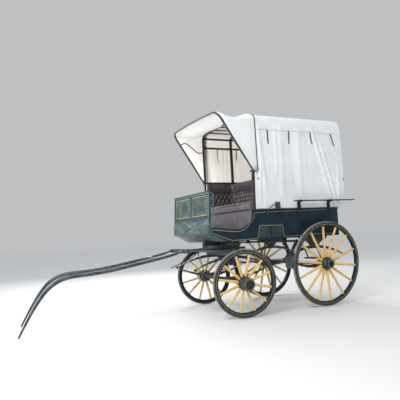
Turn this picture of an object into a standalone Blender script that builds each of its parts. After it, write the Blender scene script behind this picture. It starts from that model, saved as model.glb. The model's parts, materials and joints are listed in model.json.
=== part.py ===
"""Horse-drawn covered wagonette: a small omnibus with a canvas tilt, a folding front hood and shafts.

Units are metres, +Z is up and the front of the carriage faces -X.  While it is modelled, x = 0 is the
front axle and z = 0 is the ground; at the end the whole carriage is moved along X so that the origin
lies on the ground below the middle of its length.
"""
import bpy
import bmesh
from math import atan2, cos, pi, radians, sin, sqrt
from mathutils import Matrix, Vector

GAP = 0.0003                  # left between two pieces that touch
SLIP = 0.0008                 # left round a pin or an axle arm that turns
SINK = 0.004                  # how far shapes of one piece run into each other

# Body
BODY_HALF = 0.685
SIDE_THICK = 0.022
BODY_BOTTOM = 0.957
FLOOR_THICK = 0.026
BODY_TOP = 1.353
BODY_REAR = 1.57
NECK_X = 0.113                # front edge of the high part of the side
SWEEP_Z = 1.105               # top edge of the side beside the driver's feet
SWEEP_START = -0.11
SWEEP_DROP = 0.045            # the sweep starts this far below the top edge
SWEEP_STEPS = 8
NOSE_TOP = 1.146
FLOOR_FRONT = -0.205
BEND_X = 0.10                 # the sides draw in ahead of this
DASH_X = -0.452
DASH_HALF = 0.539
DASH_TOP = 1.62
DASH_BOTTOM = 1.255
DASH_THICK = 0.030
DASH_RAKE = 0.022
DASH_FRAME = 0.042
DASH_STILE = 0.020
PANEL_SUNK = 0.010
RAIL_ROD = 0.007
RAIL_OFF = 0.042              # grab rail's distance behind the dash
TOE_TOP = 1.219
TOE_BOTTOM = 1.066
TOE_THICK = 0.024
TOE_FRONT = 0.018             # the sides end this far behind the dash's face
STRAP_XS = (0.387, 0.906, 1.423)
STRAP_WIDTH = 0.030
STRAP_PROUD = 0.004
MOULD_PROUD = 0.014
MOULD_HEIGHT = 0.020
KICK_PROUD = 0.003
KICK_LINE = ((0.178, 0.986), (0.213, 1.142), (0.570, 1.140), (0.596, 0.986))
DOOR_HALF = 0.275
DOOR_PLAY = 0.005
DOOR_HINGE_ZS = (1.06, 1.28)
DOOR_PIN_OUT = 0.008
KNUCKLE = 0.026
KNUCKLE_RADIUS = 0.0075
HANDLE_Z = 1.27
HANDLE_ROD = 0.007
HANDLE_OUT = 0.030
HANDLE_LENGTH = 0.085

# Outside fittings
RAIL_BOARD_FRONT = 0.767
RAIL_BOARD_OVER = 0.244       # side rail's reach behind the body
RAIL_BRACKET_XS = (0.868, 1.392)
RAIL_BOARD_Z = 1.446
RAIL_BOARD_THICK = 0.013
RAIL_BOARD_OUT = 0.105        # outer edge of the side rail, from the body side
RAIL_BOARD_WIDTH = 0.068
BRACKET_WIDTH = 0.048
LAMP_X = 0.487
LAMP_OUT = 0.053              # middle of a lamp socket, from the body side
LAMP_BOTTOM = 1.356
LAMP_FLOOR = 1.379
LAMP_TOP = 1.442
LAMP_SIZE = 0.048
LAMP_WALL = 0.006
LAMP_ROD = 0.007

# Wheels
WHEEL_BASE = 1.23
WHEEL_CLEAR = 0.085           # body side to the middle of the tyre, at axle height
CAMBER = 0.06                 # radians that each wheel leans outward at its top
FRONT_RADIUS = 0.43
REAR_RADIUS = 0.58
FRONT_SPOKES = 12
REAR_SPOKES = 14
TYRE_DEPTH = 0.022
TYRE_WIDTH = 0.040
TYRE_SHOULDER = 0.009
FELLOE_DEPTH = 0.043
FELLOE_WIDTH = 0.048
SPOKE_ROOT = 0.018            # half thickness of a spoke at the nave
SPOKE_TIP = 0.015
DISH = 0.022                  # the rim stands this far outside the spokes' roots
NAVE_RADIUS = 0.089
NAVE_INNER = 0.095            # nave's reach inboard of the spokes' roots
FRONT_NAVE_OUTER = 0.165      # and outboard of them
REAR_NAVE_OUTER = 0.105
FRONT_CAP_RADIUS = 0.074
REAR_CAP_RADIUS = 0.060
BORE_RADIUS = 0.0225
AXLE_BAR = 0.044
AXLE_COLLAR = 0.040
RING_STEPS = 36
NAVE_STEPS = 16
SPOKE_SIDES = 6
# where the first spoke points, radians from the hub's own +X
FRONT_LEFT_TURN = 1.37
FRONT_RIGHT_TURN = -1.272
REAR_LEFT_TURN = 1.68
REAR_RIGHT_TURN = 0.0

# Springs
FRONT_SPRING_IN = 0.35        # tyre's middle to the front spring
REAR_SPRING_IN = 0.24
SPRING_HALF = 0.53            # half the length of an elliptic spring
SPRING_LENS = 0.1185          # half the clear height inside it
SPRING_WIDTH = 0.046
LEAF = 0.008
LEAVES = 5
LEAF_STEP = 0.17              # each shorter leaf, as a share of the longest
LEAF_BEVEL = 0.012
SPRING_EYE = 0.017
SPRING_SEAT = 0.045
SEAT_FLAT = 0.15              # share of the half length that is flat at a spring's seat

# Fore gear
STEER_REST = -0.143           # radians that the fore gear is turned, as it was left
TRANSOM_HEIGHT = 0.075
TRANSOM_DEPTH = 0.09
TRANSOM_OVER = 0.08           # transom's reach beyond the front springs
FUTCHELL_HEIGHT = 0.027
FUTCHELL_WIDTH = 0.040
FUTCHELL_Y = 0.15
FUTCHELL_REAR = 0.30
BRACE_ROD = 0.013
RING_RADIUS = 0.235
RING_WIDTH = 0.045
RING_THICK = 0.018
RING_PLAY = 0.0008
HEAD_HALF = 0.40
HEAD_DEPTH = 0.09
KING_PIN_RADIUS = 0.018
KING_NUT_RADIUS = 0.030
DROP_ROD = 0.007
DROP_LINE = ((-0.31, 0.86), (-0.37, 0.80), (-0.42, 0.762), (-0.735, 0.636))
SPLINTER_X = -0.60
SPLINTER_HALF = 0.37
SPLINTER_SIZE = 0.055
LUG_GAP = 0.034
LUG_THICK = 0.009
LUG_HALF = 0.016
HINGE_BOLT = 0.008

# Shafts
SHAFT_RADIUS = 0.024
SHAFT_ROOT_Y = 0.285
SHAFT_BAR_X = -0.98
SHAFT_BAR_Z = 0.785
SHAFT_BAR_RADIUS = 0.017
SHAFT_EYE_RADIUS = 0.018
SHAFT_ROUTE = (
    # along, height above the ground, distance from the middle
    (-0.72, 0.838, 0.285), (-0.90, 0.798, 0.285), (-1.15, 0.755, 0.285), (-1.40, 0.712, 0.290),
    (-1.62, 0.678, 0.300), (-1.86, 0.657, 0.315), (-2.03, 0.648, 0.330), (-2.15, 0.626, 0.345),
    (-2.25, 0.583, 0.360), (-2.34, 0.512, 0.370), (-2.42, 0.415, 0.380), (-2.50, 0.295, 0.390),
    (-2.58, 0.155, 0.396), (-2.66, 0.0057, 0.400))

# Rear gear
BLOCK_TOP_HALF = 0.215
BLOCK_LOW_HALF = 0.07
BLOCK_EDGE = 0.035
BLOCK_WIDTH = 0.056
BRAKE_DEPTH = 0.102           # back of a brake block to the tyre
BRAKE_GAP = 0.009
BRAKE_LOW = 0.557
BRAKE_HIGH = 0.748
BRAKE_WIDTH = 0.058
BRAKE_INSET = 0.032           # inner face of a brake block, inside the tyre's middle
BRAKE_SHAFT_BACK = 0.212      # brake shaft behind the blocks' backs
BRAKE_Z = 0.912
BRAKE_SHAFT_RADIUS = 0.015
BRAKE_ARM = 0.011
BRAKE_HANGER_Y = 0.47
BRAKE_LEVER = 0.010
STEP_Z = 0.600
STEP_THICK = 0.022
STEP_FRONT = 0.045            # front edge of the step, behind the body
STEP_DEPTH = 0.16
STEP_HALF = 0.18
STEP_IRON = 0.011

# Seats
SEAT_FRONT = 0.12
SEAT_TOP = 1.472
CUSHION_THICK = 0.108
SEAT_BOARD = 0.020
RISER_X = 0.145
BACK_X = 0.667
BACK_BOARD = 0.018
PAD_THICK = 0.055
BAND_HEIGHT = 0.14            # plain leather band above the buttoned pad
BENCH_FRONT_Y = 0.29
BENCH_TOP = 1.300
BENCH_CUSHION = 0.075
BENCH_BOARD = 0.018

# Tilt
FIRST_BOW_X = 0.165
THIRD_BOW_X = 1.17
LAST_BOW_IN = 0.035           # last bow on the body, ahead of the body's rear
END_BOW_OVER = 0.13           # end bow behind the body
TILT_INSET = 0.003
BOW_WIDTH = 0.035
BOW_TOP = 2.640
BOW_CORNER = 0.09
BOW_CROWN = 0.022
LOW_RAIL_Z = 1.862
RAIL_DROPS = (0.225, 0.080)   # upper rails below the bows' tops
RAIL_HEIGHT = 0.028
RAIL_THICK = 0.014
LATH_INSET = 0.182            # outer laths inside the bows' sides
LATHS = 3
LATH_WIDTH = 0.032
LATH_THICK = 0.010
CANVAS = 0.006
CANVAS_FRONT = 0.150
EAVE_DROP = 0.220
CURTAIN_LAP = 0.045
CORNER_STEPS = 4
CROWN_STATIONS = (0, 0.33, 0.66, 1)

# Hood
HOOD_X = -0.352               # top of the front hoop
HOOD_OVER = 0.006             # hoop's top above the bows
PIVOT_Z = 1.857
HOOP_SIZE = 0.015
HOOP_DEPTH = 0.026
HOOP_EYE = 0.020
HOOD_BOLT = 0.0065
HOOD_CORNER = 0.132
HOOD_CROWN = 0.012
HOOD_SLACK = 0.11
HOOD_START = 0.09
HOOD_CANVAS = 0.005
STAY_INSET = 0.078
STAY_ROD = 0.006
STAY_LINE = (
    # along, depth below the bows' tops
    (-0.231, 0.190), (-0.205, 0.176), (-0.165, 0.174), (-0.100, 0.212), (-0.020, 0.275),
    (0.040, 0.314), (0.095, 0.310), (0.140, 0.288))

# What follows from them
HALF_TRACK = BODY_HALF + WHEEL_CLEAR
FRONT_SPRING_Y = HALF_TRACK - FRONT_SPRING_IN
REAR_SPRING_Y = HALF_TRACK - REAR_SPRING_IN
TRANSOM_HALF = FRONT_SPRING_Y + TRANSOM_OVER
BRAKE_Y = (HALF_TRACK - BRAKE_INSET, HALF_TRACK - BRAKE_INSET + BRAKE_WIDTH)
BRAKE_BACK = WHEEL_BASE - REAR_RADIUS - BRAKE_DEPTH
BRAKE_X = BRAKE_BACK + BRAKE_SHAFT_BACK
TILT_HALF = BODY_HALF - TILT_INSET
FLOOR_TOP = BODY_BOTTOM + FLOOR_THICK
INNER_HALF = BODY_HALF - SIDE_THICK
FRONT_EDGE = DASH_X + TOE_FRONT
DRAW_IN = (BODY_HALF - DASH_HALF - SINK) / (BEND_X - DASH_X)
HINGE_PIN_X = BODY_REAR + DOOR_PIN_OUT
HINGE_PIN_Y = DOOR_HALF + GAP
LAMP_Y = BODY_HALF + LAMP_OUT
BOW_XS = (FIRST_BOW_X, BACK_X, THIRD_BOW_X, BODY_REAR - LAST_BOW_IN)
END_BOW_X = BODY_REAR + END_BOW_OVER
CANVAS_REAR = END_BOW_X + BOW_WIDTH
RAIL_ZS = (LOW_RAIL_Z, BOW_TOP - RAIL_DROPS[0], BOW_TOP - RAIL_DROPS[1])
EAVE_Z = BOW_TOP - EAVE_DROP
SEAT_BOARD_TOP = SEAT_TOP - CUSHION_THICK
WING_OUTER = TILT_HALF - BOW_WIDTH - GAP
WING_INNER = WING_OUTER - RAIL_THICK
BENCH_XS = (BACK_X + SINK, BODY_REAR - SIDE_THICK - SINK)
LATH_YS = [(TILT_HALF - LATH_INSET) * k / LATHS for k in range(LATHS + 1)]
ROOF_HALF = TILT_HALF + GAP + CANVAS + GAP
HOOP_HALF = TILT_HALF + GAP + CANVAS + GAP + HOOP_SIZE
HOOD_Z = BOW_TOP + HOOD_OVER
HOOD_LEAN = atan2(HOOD_X - FIRST_BOW_X, HOOD_Z - PIVOT_Z)
HOOD_REACH = sqrt((HOOD_X - FIRST_BOW_X) ** 2 + (HOOD_Z - PIVOT_Z) ** 2)
STAY_Y = TILT_HALF - STAY_INSET
STACK = LEAF * LEAVES

PARTS = None


def start():
    """Empties the file and makes the collection that the carriage goes in."""
    global PARTS
    for old in list(bpy.data.objects):
        bpy.data.objects.remove(old, do_unlink=True)
    PARTS = bpy.data.collections.new("covered_wagonette")
    bpy.context.scene.collection.children.link(PARTS)


def finish_material(name, colour, roughness, metallic=0.0):
    """A plain surface; colour is sRGB hex."""
    material = bpy.data.materials.new(name)
    material.use_nodes = True
    shader = material.node_tree.nodes["Principled BSDF"]
    channels = [int(colour[i:i + 2], 16) / 255 for i in (0, 2, 4)]
    linear = [c / 12.92 if c <= 0.04045 else ((c + 0.055) / 1.055) ** 2.4 for c in channels]
    shader.inputs["Base Color"].default_value = (*linear, 1)
    shader.inputs["Roughness"].default_value = roughness
    shader.inputs["Metallic"].default_value = metallic
    return material


def pivot(name, location, rotation=None, parent=None):
    """An empty that carries a moving body: its place is on the joint's axis."""
    empty = bpy.data.objects.new(name, None)
    empty.empty_display_size = 0.15
    PARTS.objects.link(empty)
    empty.parent = parent
    turn = rotation if rotation is not None else Matrix.Identity(4)
    empty.matrix_local = Matrix.Translation(location) @ turn
    return empty


def loose(mesh, name="shape"):
    """A working object that is fused or carved before it becomes a piece."""
    body = bpy.data.objects.new(name, mesh)
    PARTS.objects.link(body)
    return body


def from_bmesh(shape):
    mesh = bpy.data.meshes.new("shape")
    shape.to_mesh(mesh)
    shape.free()
    return loose(mesh)


def baked(body):
    """The object with its modifiers or its curve turned into one welded mesh."""
    bpy.context.view_layer.update()
    graph = bpy.context.evaluated_depsgraph_get()
    mesh = bpy.data.meshes.new_from_object(body.evaluated_get(graph))
    mesh.transform(body.matrix_world)
    shape = bmesh.new()
    shape.from_mesh(mesh)
    bmesh.ops.remove_doubles(shape, verts=shape.verts, dist=0.00005)
    bmesh.ops.dissolve_degenerate(shape, edges=shape.edges, dist=0.00001)
    shape.to_mesh(mesh)
    shape.free()
    bpy.data.objects.remove(body, do_unlink=True)
    return loose(mesh)


def block(low, high):
    """A box between two corners."""
    shape = bmesh.new()
    bmesh.ops.create_cube(shape, size=1)
    size = Vector(high) - Vector(low)
    middle = (Vector(high) + Vector(low)) / 2
    bmesh.ops.scale(shape, vec=size, verts=shape.verts)
    bmesh.ops.translate(shape, vec=middle, verts=shape.verts)
    return from_bmesh(shape)


def rod(start_point, end_point, start_radius, end_radius=None, sides=12, turn=0.0):
    """A round or tapered bar between two points."""
    a, b = Vector(start_point), Vector(end_point)
    along = b - a
    shape = bmesh.new()
    place = Matrix.Translation((a + b) / 2) @ along.to_track_quat("Z", "Y").to_matrix().to_4x4()
    bmesh.ops.create_cone(shape, cap_ends=True, segments=sides, radius1=start_radius,
                          radius2=start_radius if end_radius is None else end_radius,
                          depth=along.length, matrix=place @ Matrix.Rotation(turn, 4, "Z"))
    return from_bmesh(shape)


def turned(profile, steps, closed=False):
    """A profile of (radius, height) points screwed round Z."""
    mesh = bpy.data.meshes.new("profile")
    edges = [(i, i + 1) for i in range(len(profile) - 1)]
    if closed:
        edges.append((len(profile) - 1, 0))
    mesh.from_pydata([(r, 0, h) for r, h in profile], edges, [])
    body = loose(mesh)
    screw = body.modifiers.new("Screw", "SCREW")
    screw.axis = "Z"
    screw.angle = 2 * pi
    screw.steps = steps
    screw.render_steps = steps
    screw.use_merge_vertices = True
    screw.merge_threshold = 0.0001
    return baked(body)


def plate(points, low, high, across="Y", holes=()):
    """A flat outline given in XZ (across Y) or YZ (across X), as thick as low to high."""
    curve = bpy.data.curves.new("outline", "CURVE")
    curve.dimensions = "2D"
    curve.fill_mode = "BOTH"
    curve.extrude = (high - low) / 2
    for ring in (points, *holes):
        spline = curve.splines.new("POLY")
        spline.points.add(len(ring) - 1)
        for point, (u, v) in zip(spline.points, ring):
            point.co = (u, v, 0, 1)
        spline.use_cyclic_u = True
    body = bpy.data.objects.new("outline", curve)
    PARTS.objects.link(body)
    middle = (low + high) / 2
    if across == "Y":
        body.matrix_world = Matrix.Translation((0, middle, 0)) @ Matrix.Rotation(pi / 2, 4, "X")
    elif across == "X":
        body.matrix_world = Matrix(((0, 0, 1, middle), (1, 0, 0, 0), (0, 1, 0, 0), (0, 0, 0, 1)))
    else:
        body.matrix_world = Matrix.Translation((0, 0, middle))
    return baked(body)


def tube(points, radius, smooth=False, taper=None, resolution=1):
    """A round bar through points, with closed ends; taper gives a factor for each point."""
    curve = bpy.data.curves.new("bar", "CURVE")
    curve.dimensions = "3D"
    curve.bevel_depth = radius
    curve.bevel_resolution = resolution
    curve.use_fill_caps = True
    spline = curve.splines.new("POLY")
    route = smooth_route(points) if smooth else [Vector(p) for p in points]
    spline.points.add(len(route) - 1)
    for i, (point, place) in enumerate(zip(spline.points, route)):
        point.co = (*place, 1)
        if taper:
            point.radius = taper(i / (len(route) - 1))
    body = bpy.data.objects.new("bar", curve)
    PARTS.objects.link(body)
    return baked(body)


def smooth_route(points, parts=2):
    """Points on a Catmull-Rom curve through the given ones."""
    ring = [Vector(p) for p in points]
    ring = [2 * ring[0] - ring[1]] + ring + [2 * ring[-1] - ring[-2]]
    route = []
    for a, b, c, d in zip(ring, ring[1:], ring[2:], ring[3:]):
        for step in range(parts):
            t = step / parts
            route.append(0.5 * (2 * b + (c - a) * t + (2 * a - 5 * b + 4 * c - d) * t ** 2
                                + (3 * b - a - 3 * c + d) * t ** 3))
    return route + [ring[-2]]


def arc(centre, radius, begin, end, steps):
    """Points round part of a circle, angles in radians."""
    return [(centre[0] + radius * cos(begin + (end - begin) * i / steps),
             centre[1] + radius * sin(begin + (end - begin) * i / steps)) for i in range(steps + 1)]


def combined(bodies):
    """Several loose shapes as one mesh, still separate shells."""
    shape = bmesh.new()
    for body in bodies:
        body.data.transform(body.matrix_world)
        shape.from_mesh(body.data)
        bpy.data.objects.remove(body, do_unlink=True)
    return from_bmesh(shape)


def boolean(body, other, operation):
    modifier = body.modifiers.new("Boolean", "BOOLEAN")
    modifier.operation = operation
    modifier.solver = "EXACT"
    modifier.object = other
    result = baked(body)
    bpy.data.objects.remove(other, do_unlink=True)
    return result


def fused(*bodies):
    """One solid made of shapes that run into each other."""
    result = bodies[0]
    for other in bodies[1:]:
        result = boolean(result, other, "UNION")
    return result


def carved(body, *cutters):
    for cutter in cutters:
        body = boolean(body, cutter, "DIFFERENCE")
    return body


def mirrored(body):
    """The same shape on the other side of the carriage's middle plane."""
    shape = bmesh.new()
    shape.from_mesh(body.data)
    bmesh.ops.transform(shape, matrix=Matrix.Scale(-1, 4, (0, 1, 0)), verts=shape.verts)
    bmesh.ops.reverse_faces(shape, faces=shape.faces)
    return from_bmesh(shape)


def piece(name, body, material, parent, soft_edges=0.0, smooth_angle=35):
    """Turns a working shape, modelled in its parent's own frame, into a named piece."""
    body.name = name
    body.data.name = name
    body.data.materials.clear()
    body.data.materials.append(material)
    if soft_edges:
        bevel = body.modifiers.new("Bevel", "BEVEL")
        bevel.width = soft_edges
        bevel.segments = 1
        bevel.limit_method = "ANGLE"
        bevel.angle_limit = radians(40)
    body.data.shade_smooth()
    body.data.set_sharp_from_angle(angle=radians(smooth_angle))
    body.parent = parent
    return body


# Wheels

def nave(outer_reach, cap_radius):
    """The turned nave: a barrel between two tapers, bored from inside, hollow at its outer end."""
    lip = 0.020
    recess = 0.030
    end_wall = 0.022
    barrel = 0.030
    profile = [
        (0, outer_reach - recess),
        (cap_radius - lip, outer_reach - recess),
        (cap_radius - lip, outer_reach),
        (cap_radius, outer_reach),
        (cap_radius + 0.004, barrel + (outer_reach - barrel) * 0.45),
        (NAVE_RADIUS - 0.004, barrel + 0.012),
        (NAVE_RADIUS, barrel),
        (NAVE_RADIUS, -barrel),
        (NAVE_RADIUS - 0.012, -barrel - 0.015),
        (0.066, -NAVE_INNER),
        (BORE_RADIUS, -NAVE_INNER),
        (BORE_RADIUS, outer_reach - recess - end_wall),
        (0, outer_reach - recess - end_wall),
    ]
    body = turned(profile, NAVE_STEPS)
    body.data.transform(Matrix.Translation((0, 0, -DISH)))
    return body


def rim_and_spokes(radius, count, turn):
    """Felloe with its spokes, which stand on the nave and lean outward to the rim."""
    outer = radius - TYRE_DEPTH - GAP
    inner = outer - FELLOE_DEPTH
    half = FELLOE_WIDTH / 2
    ease = 0.006
    felloe = turned([(outer, half), (outer, -half), (inner + ease, -half), (inner, -half + ease),
                     (inner, half - ease), (inner + ease, half)], RING_STEPS, closed=True)
    spokes = []
    for k in range(count):
        angle = turn + 2 * pi * k / count
        side = Vector((cos(angle), sin(angle), 0))
        root = side * (NAVE_RADIUS - 0.006) + Vector((0, 0, -DISH))
        tip = side * (inner + FELLOE_DEPTH * 0.4)
        spokes.append(rod(root, tip, SPOKE_ROOT, SPOKE_TIP, SPOKE_SIDES, turn=pi / SPOKE_SIDES))
    seat = rod((0, 0, -DISH - 0.05), (0, 0, DISH + 0.05), NAVE_RADIUS + GAP, sides=2 * NAVE_STEPS)
    return fused(felloe, carved(combined(spokes), seat))


def tyre(radius):
    """Solid rubber tyre with a rounded tread."""
    half = TYRE_WIDTH / 2
    inner = radius - TYRE_DEPTH
    shoulder = TYRE_SHOULDER
    return turned([(radius, half - shoulder), (radius, -half + shoulder), (radius - shoulder, -half),
                   (inner, -half), (inner, half), (radius - shoulder, half)], RING_STEPS, closed=True)


def wheel_height(radius):
    """Height of a wheel's centre, so that its leaning tread touches the ground."""
    return radius * cos(CAMBER) + (TYRE_WIDTH / 2 - TYRE_SHOULDER) * sin(CAMBER)


def hub_turn(side):
    """Turns the wheel's own +Z outboard and slightly down; side is -1 on the left, +1 on the right."""
    return Matrix.Rotation(-side * (pi / 2 + CAMBER), 4, "X")


def wheel(name, x, side, radius, count, turn, outer_reach, cap_radius, mats, parent):
    centre = Vector((x, side * HALF_TRACK, wheel_height(radius)))
    hub = pivot(name + "_hub", centre, hub_turn(side), parent)
    piece(name + "_nave", nave(outer_reach, cap_radius), mats["iron"], hub)
    piece(name + "_spokes", rim_and_spokes(radius, count, turn), mats["yellow"], hub)
    piece(name + "_tyre", tyre(radius), mats["rubber"], hub)


def axle(x, radius):
    """A square bed with a collar and a drooping round arm at each end."""
    height = wheel_height(radius)
    half = AXLE_BAR / 2
    arm_radius = BORE_RADIUS * cos(pi / NAVE_STEPS) - SLIP
    bodies = []
    for side in (-1, 1):
        out = Vector((0, side * cos(CAMBER), -sin(CAMBER)))
        centre = Vector((x, side * HALF_TRACK, height)) - out * DISH
        shoulder = centre - out * (NAVE_INNER + GAP * 2)
        bodies.append(rod(shoulder - out * 0.018, shoulder, AXLE_COLLAR, sides=NAVE_STEPS))
        bodies.append(rod(shoulder - out * 0.010, centre + out * 0.045, arm_radius, sides=NAVE_STEPS))
        bodies.append(rod(shoulder - out * 0.070, shoulder - out * 0.008, 0.026, sides=NAVE_STEPS))
    bed_half = HALF_TRACK - DISH - NAVE_INNER - 0.045
    bed = block((x - half, -bed_half, height - half), (x + half, bed_half, height + half))
    return fused(bed, *bodies)


# Springs

def leaf_line(u, inner=SPRING_LENS):
    """Height of the longest leaf's inner face above the spring's middle, u from its centre."""
    return inner * (1 - (u / SPRING_HALF) ** 2)


def leaf_pack():
    """The stepped outer face of one pack of leaves, from its left tip to its right tip."""
    left = []
    for k in range(LEAVES):
        u = -SPRING_HALF * (1 - LEAF_STEP * k)
        left.append((u, leaf_line(u) + LEAF * k))
        left.append((u + LEAF_BEVEL, leaf_line(u + LEAF_BEVEL) + LEAF * (k + 1)))
    right = [(-u, h) for u, h in reversed(left)]
    return left + [(0, SPRING_LENS + STACK)] + right[:-1]


def elliptic_spring(x, y, middle):
    """Full elliptic spring: two bowed packs of leaves that meet in an eye at each tip."""
    outer = [(x + s * u, middle + s * h) for s in (1, -1) for u, h in leaf_pack()]
    stations = (0.97, 0.85, 0.65, 0.4, SEAT_FLAT)
    inner = [(x + s * f * SPRING_HALF, middle + s * leaf_line(f * SPRING_HALF))
             for s in (1, -1) for f in [-f for f in stations] + list(stations[::-1])]
    half = SPRING_WIDTH / 2
    pack = plate(outer, y - half, y + half, holes=(inner,))
    parts = [pack]
    for s in (-1, 1):
        tip = x + s * SPRING_HALF
        parts.append(rod((tip, y - half - 0.006, middle), (tip, y + half + 0.006, middle), SPRING_EYE))
        low, high = sorted((middle + s * (SPRING_LENS + 0.002), middle + s * (SPRING_LENS + STACK)))
        parts.append(block((x - SPRING_SEAT, y - half - SINK, low), (x + SPRING_SEAT, y + half + SINK, high)))
    return fused(*parts)


FRONT_AXLE_TOP = wheel_height(FRONT_RADIUS) + AXLE_BAR / 2
FRONT_SPRING_Z = FRONT_AXLE_TOP + GAP + STACK + SPRING_LENS
TRANSOM_BOTTOM = FRONT_SPRING_Z + SPRING_LENS + STACK + GAP
TRANSOM_TOP = TRANSOM_BOTTOM + TRANSOM_HEIGHT
FUTCHELL_TOP = TRANSOM_TOP + FUTCHELL_HEIGHT
LOWER_RING_TOP = FUTCHELL_TOP + RING_THICK
UPPER_RING_BOTTOM = LOWER_RING_TOP + RING_PLAY
UPPER_RING_TOP = UPPER_RING_BOTTOM + RING_THICK
HINGE_X = SPLINTER_X - SPLINTER_SIZE / 2 - 0.026
HINGE_Z = FUTCHELL_TOP - FUTCHELL_HEIGHT / 2
REAR_AXLE_BOTTOM = wheel_height(REAR_RADIUS) - AXLE_BAR / 2
REAR_SPRING_Z = REAR_AXLE_BOTTOM - GAP + leaf_line(SEAT_FLAT * SPRING_HALF)


# Fore gear

def turntable_ring(bottom, top):
    inner, outer = RING_RADIUS - RING_WIDTH / 2, RING_RADIUS + RING_WIDTH / 2
    return turned([(outer, top), (outer, bottom), (inner, bottom), (inner, top)], 32, closed=True)


def upper_turntable():
    """Ring and head block under the floor, with the king pin that hangs from them."""
    ring = turntable_ring(UPPER_RING_BOTTOM, UPPER_RING_TOP)
    top = BODY_BOTTOM - GAP
    half = HEAD_DEPTH / 2
    reach = RING_RADIUS + 0.035
    head = block((-half, -HEAD_HALF, UPPER_RING_TOP - SINK), (half, HEAD_HALF, top))
    rail = block((-reach, -0.035, UPPER_RING_TOP - SINK), (reach, 0.035, top))
    nut_top = TRANSOM_BOTTOM - SINK
    pin = rod((0, 0, nut_top - 0.01), (0, 0, top - 0.01), KING_PIN_RADIUS, sides=16)
    nut = rod((0, 0, nut_top - 0.022), (0, 0, nut_top), KING_NUT_RADIUS, sides=6)
    return fused(ring, head, rail, pin, nut)


def fore_frame():
    """Transom on the springs, futchells over it, the lower ring, and the drop rod in front."""
    half = TRANSOM_DEPTH / 2
    transom = block((-half, -TRANSOM_HALF, TRANSOM_BOTTOM), (half, TRANSOM_HALF, TRANSOM_TOP))
    front = SPLINTER_X + SPLINTER_SIZE / 2 + GAP
    parts = [transom]
    for side in (-1, 1):
        y = side * FUTCHELL_Y
        parts.append(block((front, y - FUTCHELL_WIDTH / 2, TRANSOM_TOP - SINK),
                           (FUTCHELL_REAR, y + FUTCHELL_WIDTH / 2, FUTCHELL_TOP)))
        arm_x = half + 0.02
        parts.append(rod((-arm_x, side * (TRANSOM_HALF - 0.04), TRANSOM_TOP - 0.02),
                         (front + 0.02, side * (FUTCHELL_Y + 0.03), HINGE_Z), BRACE_ROD, sides=8))
    bridge = block((-0.33, -FUTCHELL_Y, TRANSOM_TOP), (-0.29, FUTCHELL_Y, FUTCHELL_TOP - 0.003))
    parts.append(bridge)
    parts.append(turntable_ring(FUTCHELL_TOP - SINK, LOWER_RING_TOP))
    drop = tube([(x, 0, z) for x, z in DROP_LINE], DROP_ROD, resolution=2)
    parts.append(drop)
    body = fused(*parts)
    bore = KING_PIN_RADIUS / cos(pi / 16) + SLIP
    return carved(body, rod((0, 0, TRANSOM_BOTTOM - 0.02), (0, 0, LOWER_RING_TOP + 0.02), bore, sides=16))


def splinter_bar():
    """Cross bar on the futchells' ends, with a pair of lugs and a bolt for each shaft."""
    half = SPLINTER_SIZE / 2
    parts = [block((SPLINTER_X - half, -SPLINTER_HALF, HINGE_Z - half),
                   (SPLINTER_X + half, SPLINTER_HALF, HINGE_Z + half))]
    for side in (-1, 1):
        for edge in (-1, 1):
            y = side * SHAFT_ROOT_Y + edge * (LUG_GAP / 2 + LUG_THICK / 2)
            parts.append(block((HINGE_X - LUG_HALF, y - LUG_THICK / 2, HINGE_Z - LUG_HALF),
                               (SPLINTER_X - half + SINK, y + LUG_THICK / 2, HINGE_Z + LUG_HALF)))
        reach = LUG_GAP / 2 + LUG_THICK + 0.006
        parts.append(rod((HINGE_X, side * SHAFT_ROOT_Y - reach, HINGE_Z),
                         (HINGE_X, side * SHAFT_ROOT_Y + reach, HINGE_Z), HINGE_BOLT, sides=12))
    return fused(*parts)


def shaft_taper(t):
    """Slim at the hinge, full along the middle, fine at the tip."""
    return min(1.0, 0.72 + 1.6 * t) * (1 - 0.55 * max(0.0, (t - 0.62) / 0.38) ** 1.3)


def shafts():
    """Two bent shafts, splayed at their tips and joined by a cross bar near the hinge."""
    place = Matrix.Translation((-HINGE_X, 0, -HINGE_Z))
    parts = []
    for side in (-1, 1):
        route = [(x, side * y, z) for x, z, y in SHAFT_ROUTE]
        parts.append(tube(route, SHAFT_RADIUS, smooth=True, taper=shaft_taper, resolution=2))
        width = LUG_GAP / 2 - 0.001
        y = side * SHAFT_ROOT_Y
        parts.append(rod((HINGE_X, y - width, HINGE_Z), (HINGE_X, y + width, HINGE_Z), SHAFT_EYE_RADIUS, sides=16))
        parts.append(rod((HINGE_X - 0.008, y, HINGE_Z - 0.001), (-0.735, y, 0.835), 0.0125, 0.0165, sides=8))
    parts.append(rod((SHAFT_BAR_X, -SHAFT_ROOT_Y, SHAFT_BAR_Z), (SHAFT_BAR_X, SHAFT_ROOT_Y, SHAFT_BAR_Z),
                     SHAFT_BAR_RADIUS, sides=10))
    body = fused(*parts)
    bore = HINGE_BOLT / cos(pi / 12) + SLIP
    reach = SHAFT_ROOT_Y + 0.05
    body = carved(body, rod((HINGE_X, -reach, HINGE_Z), (HINGE_X, reach, HINGE_Z), bore))
    body.data.transform(place)
    return body


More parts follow.
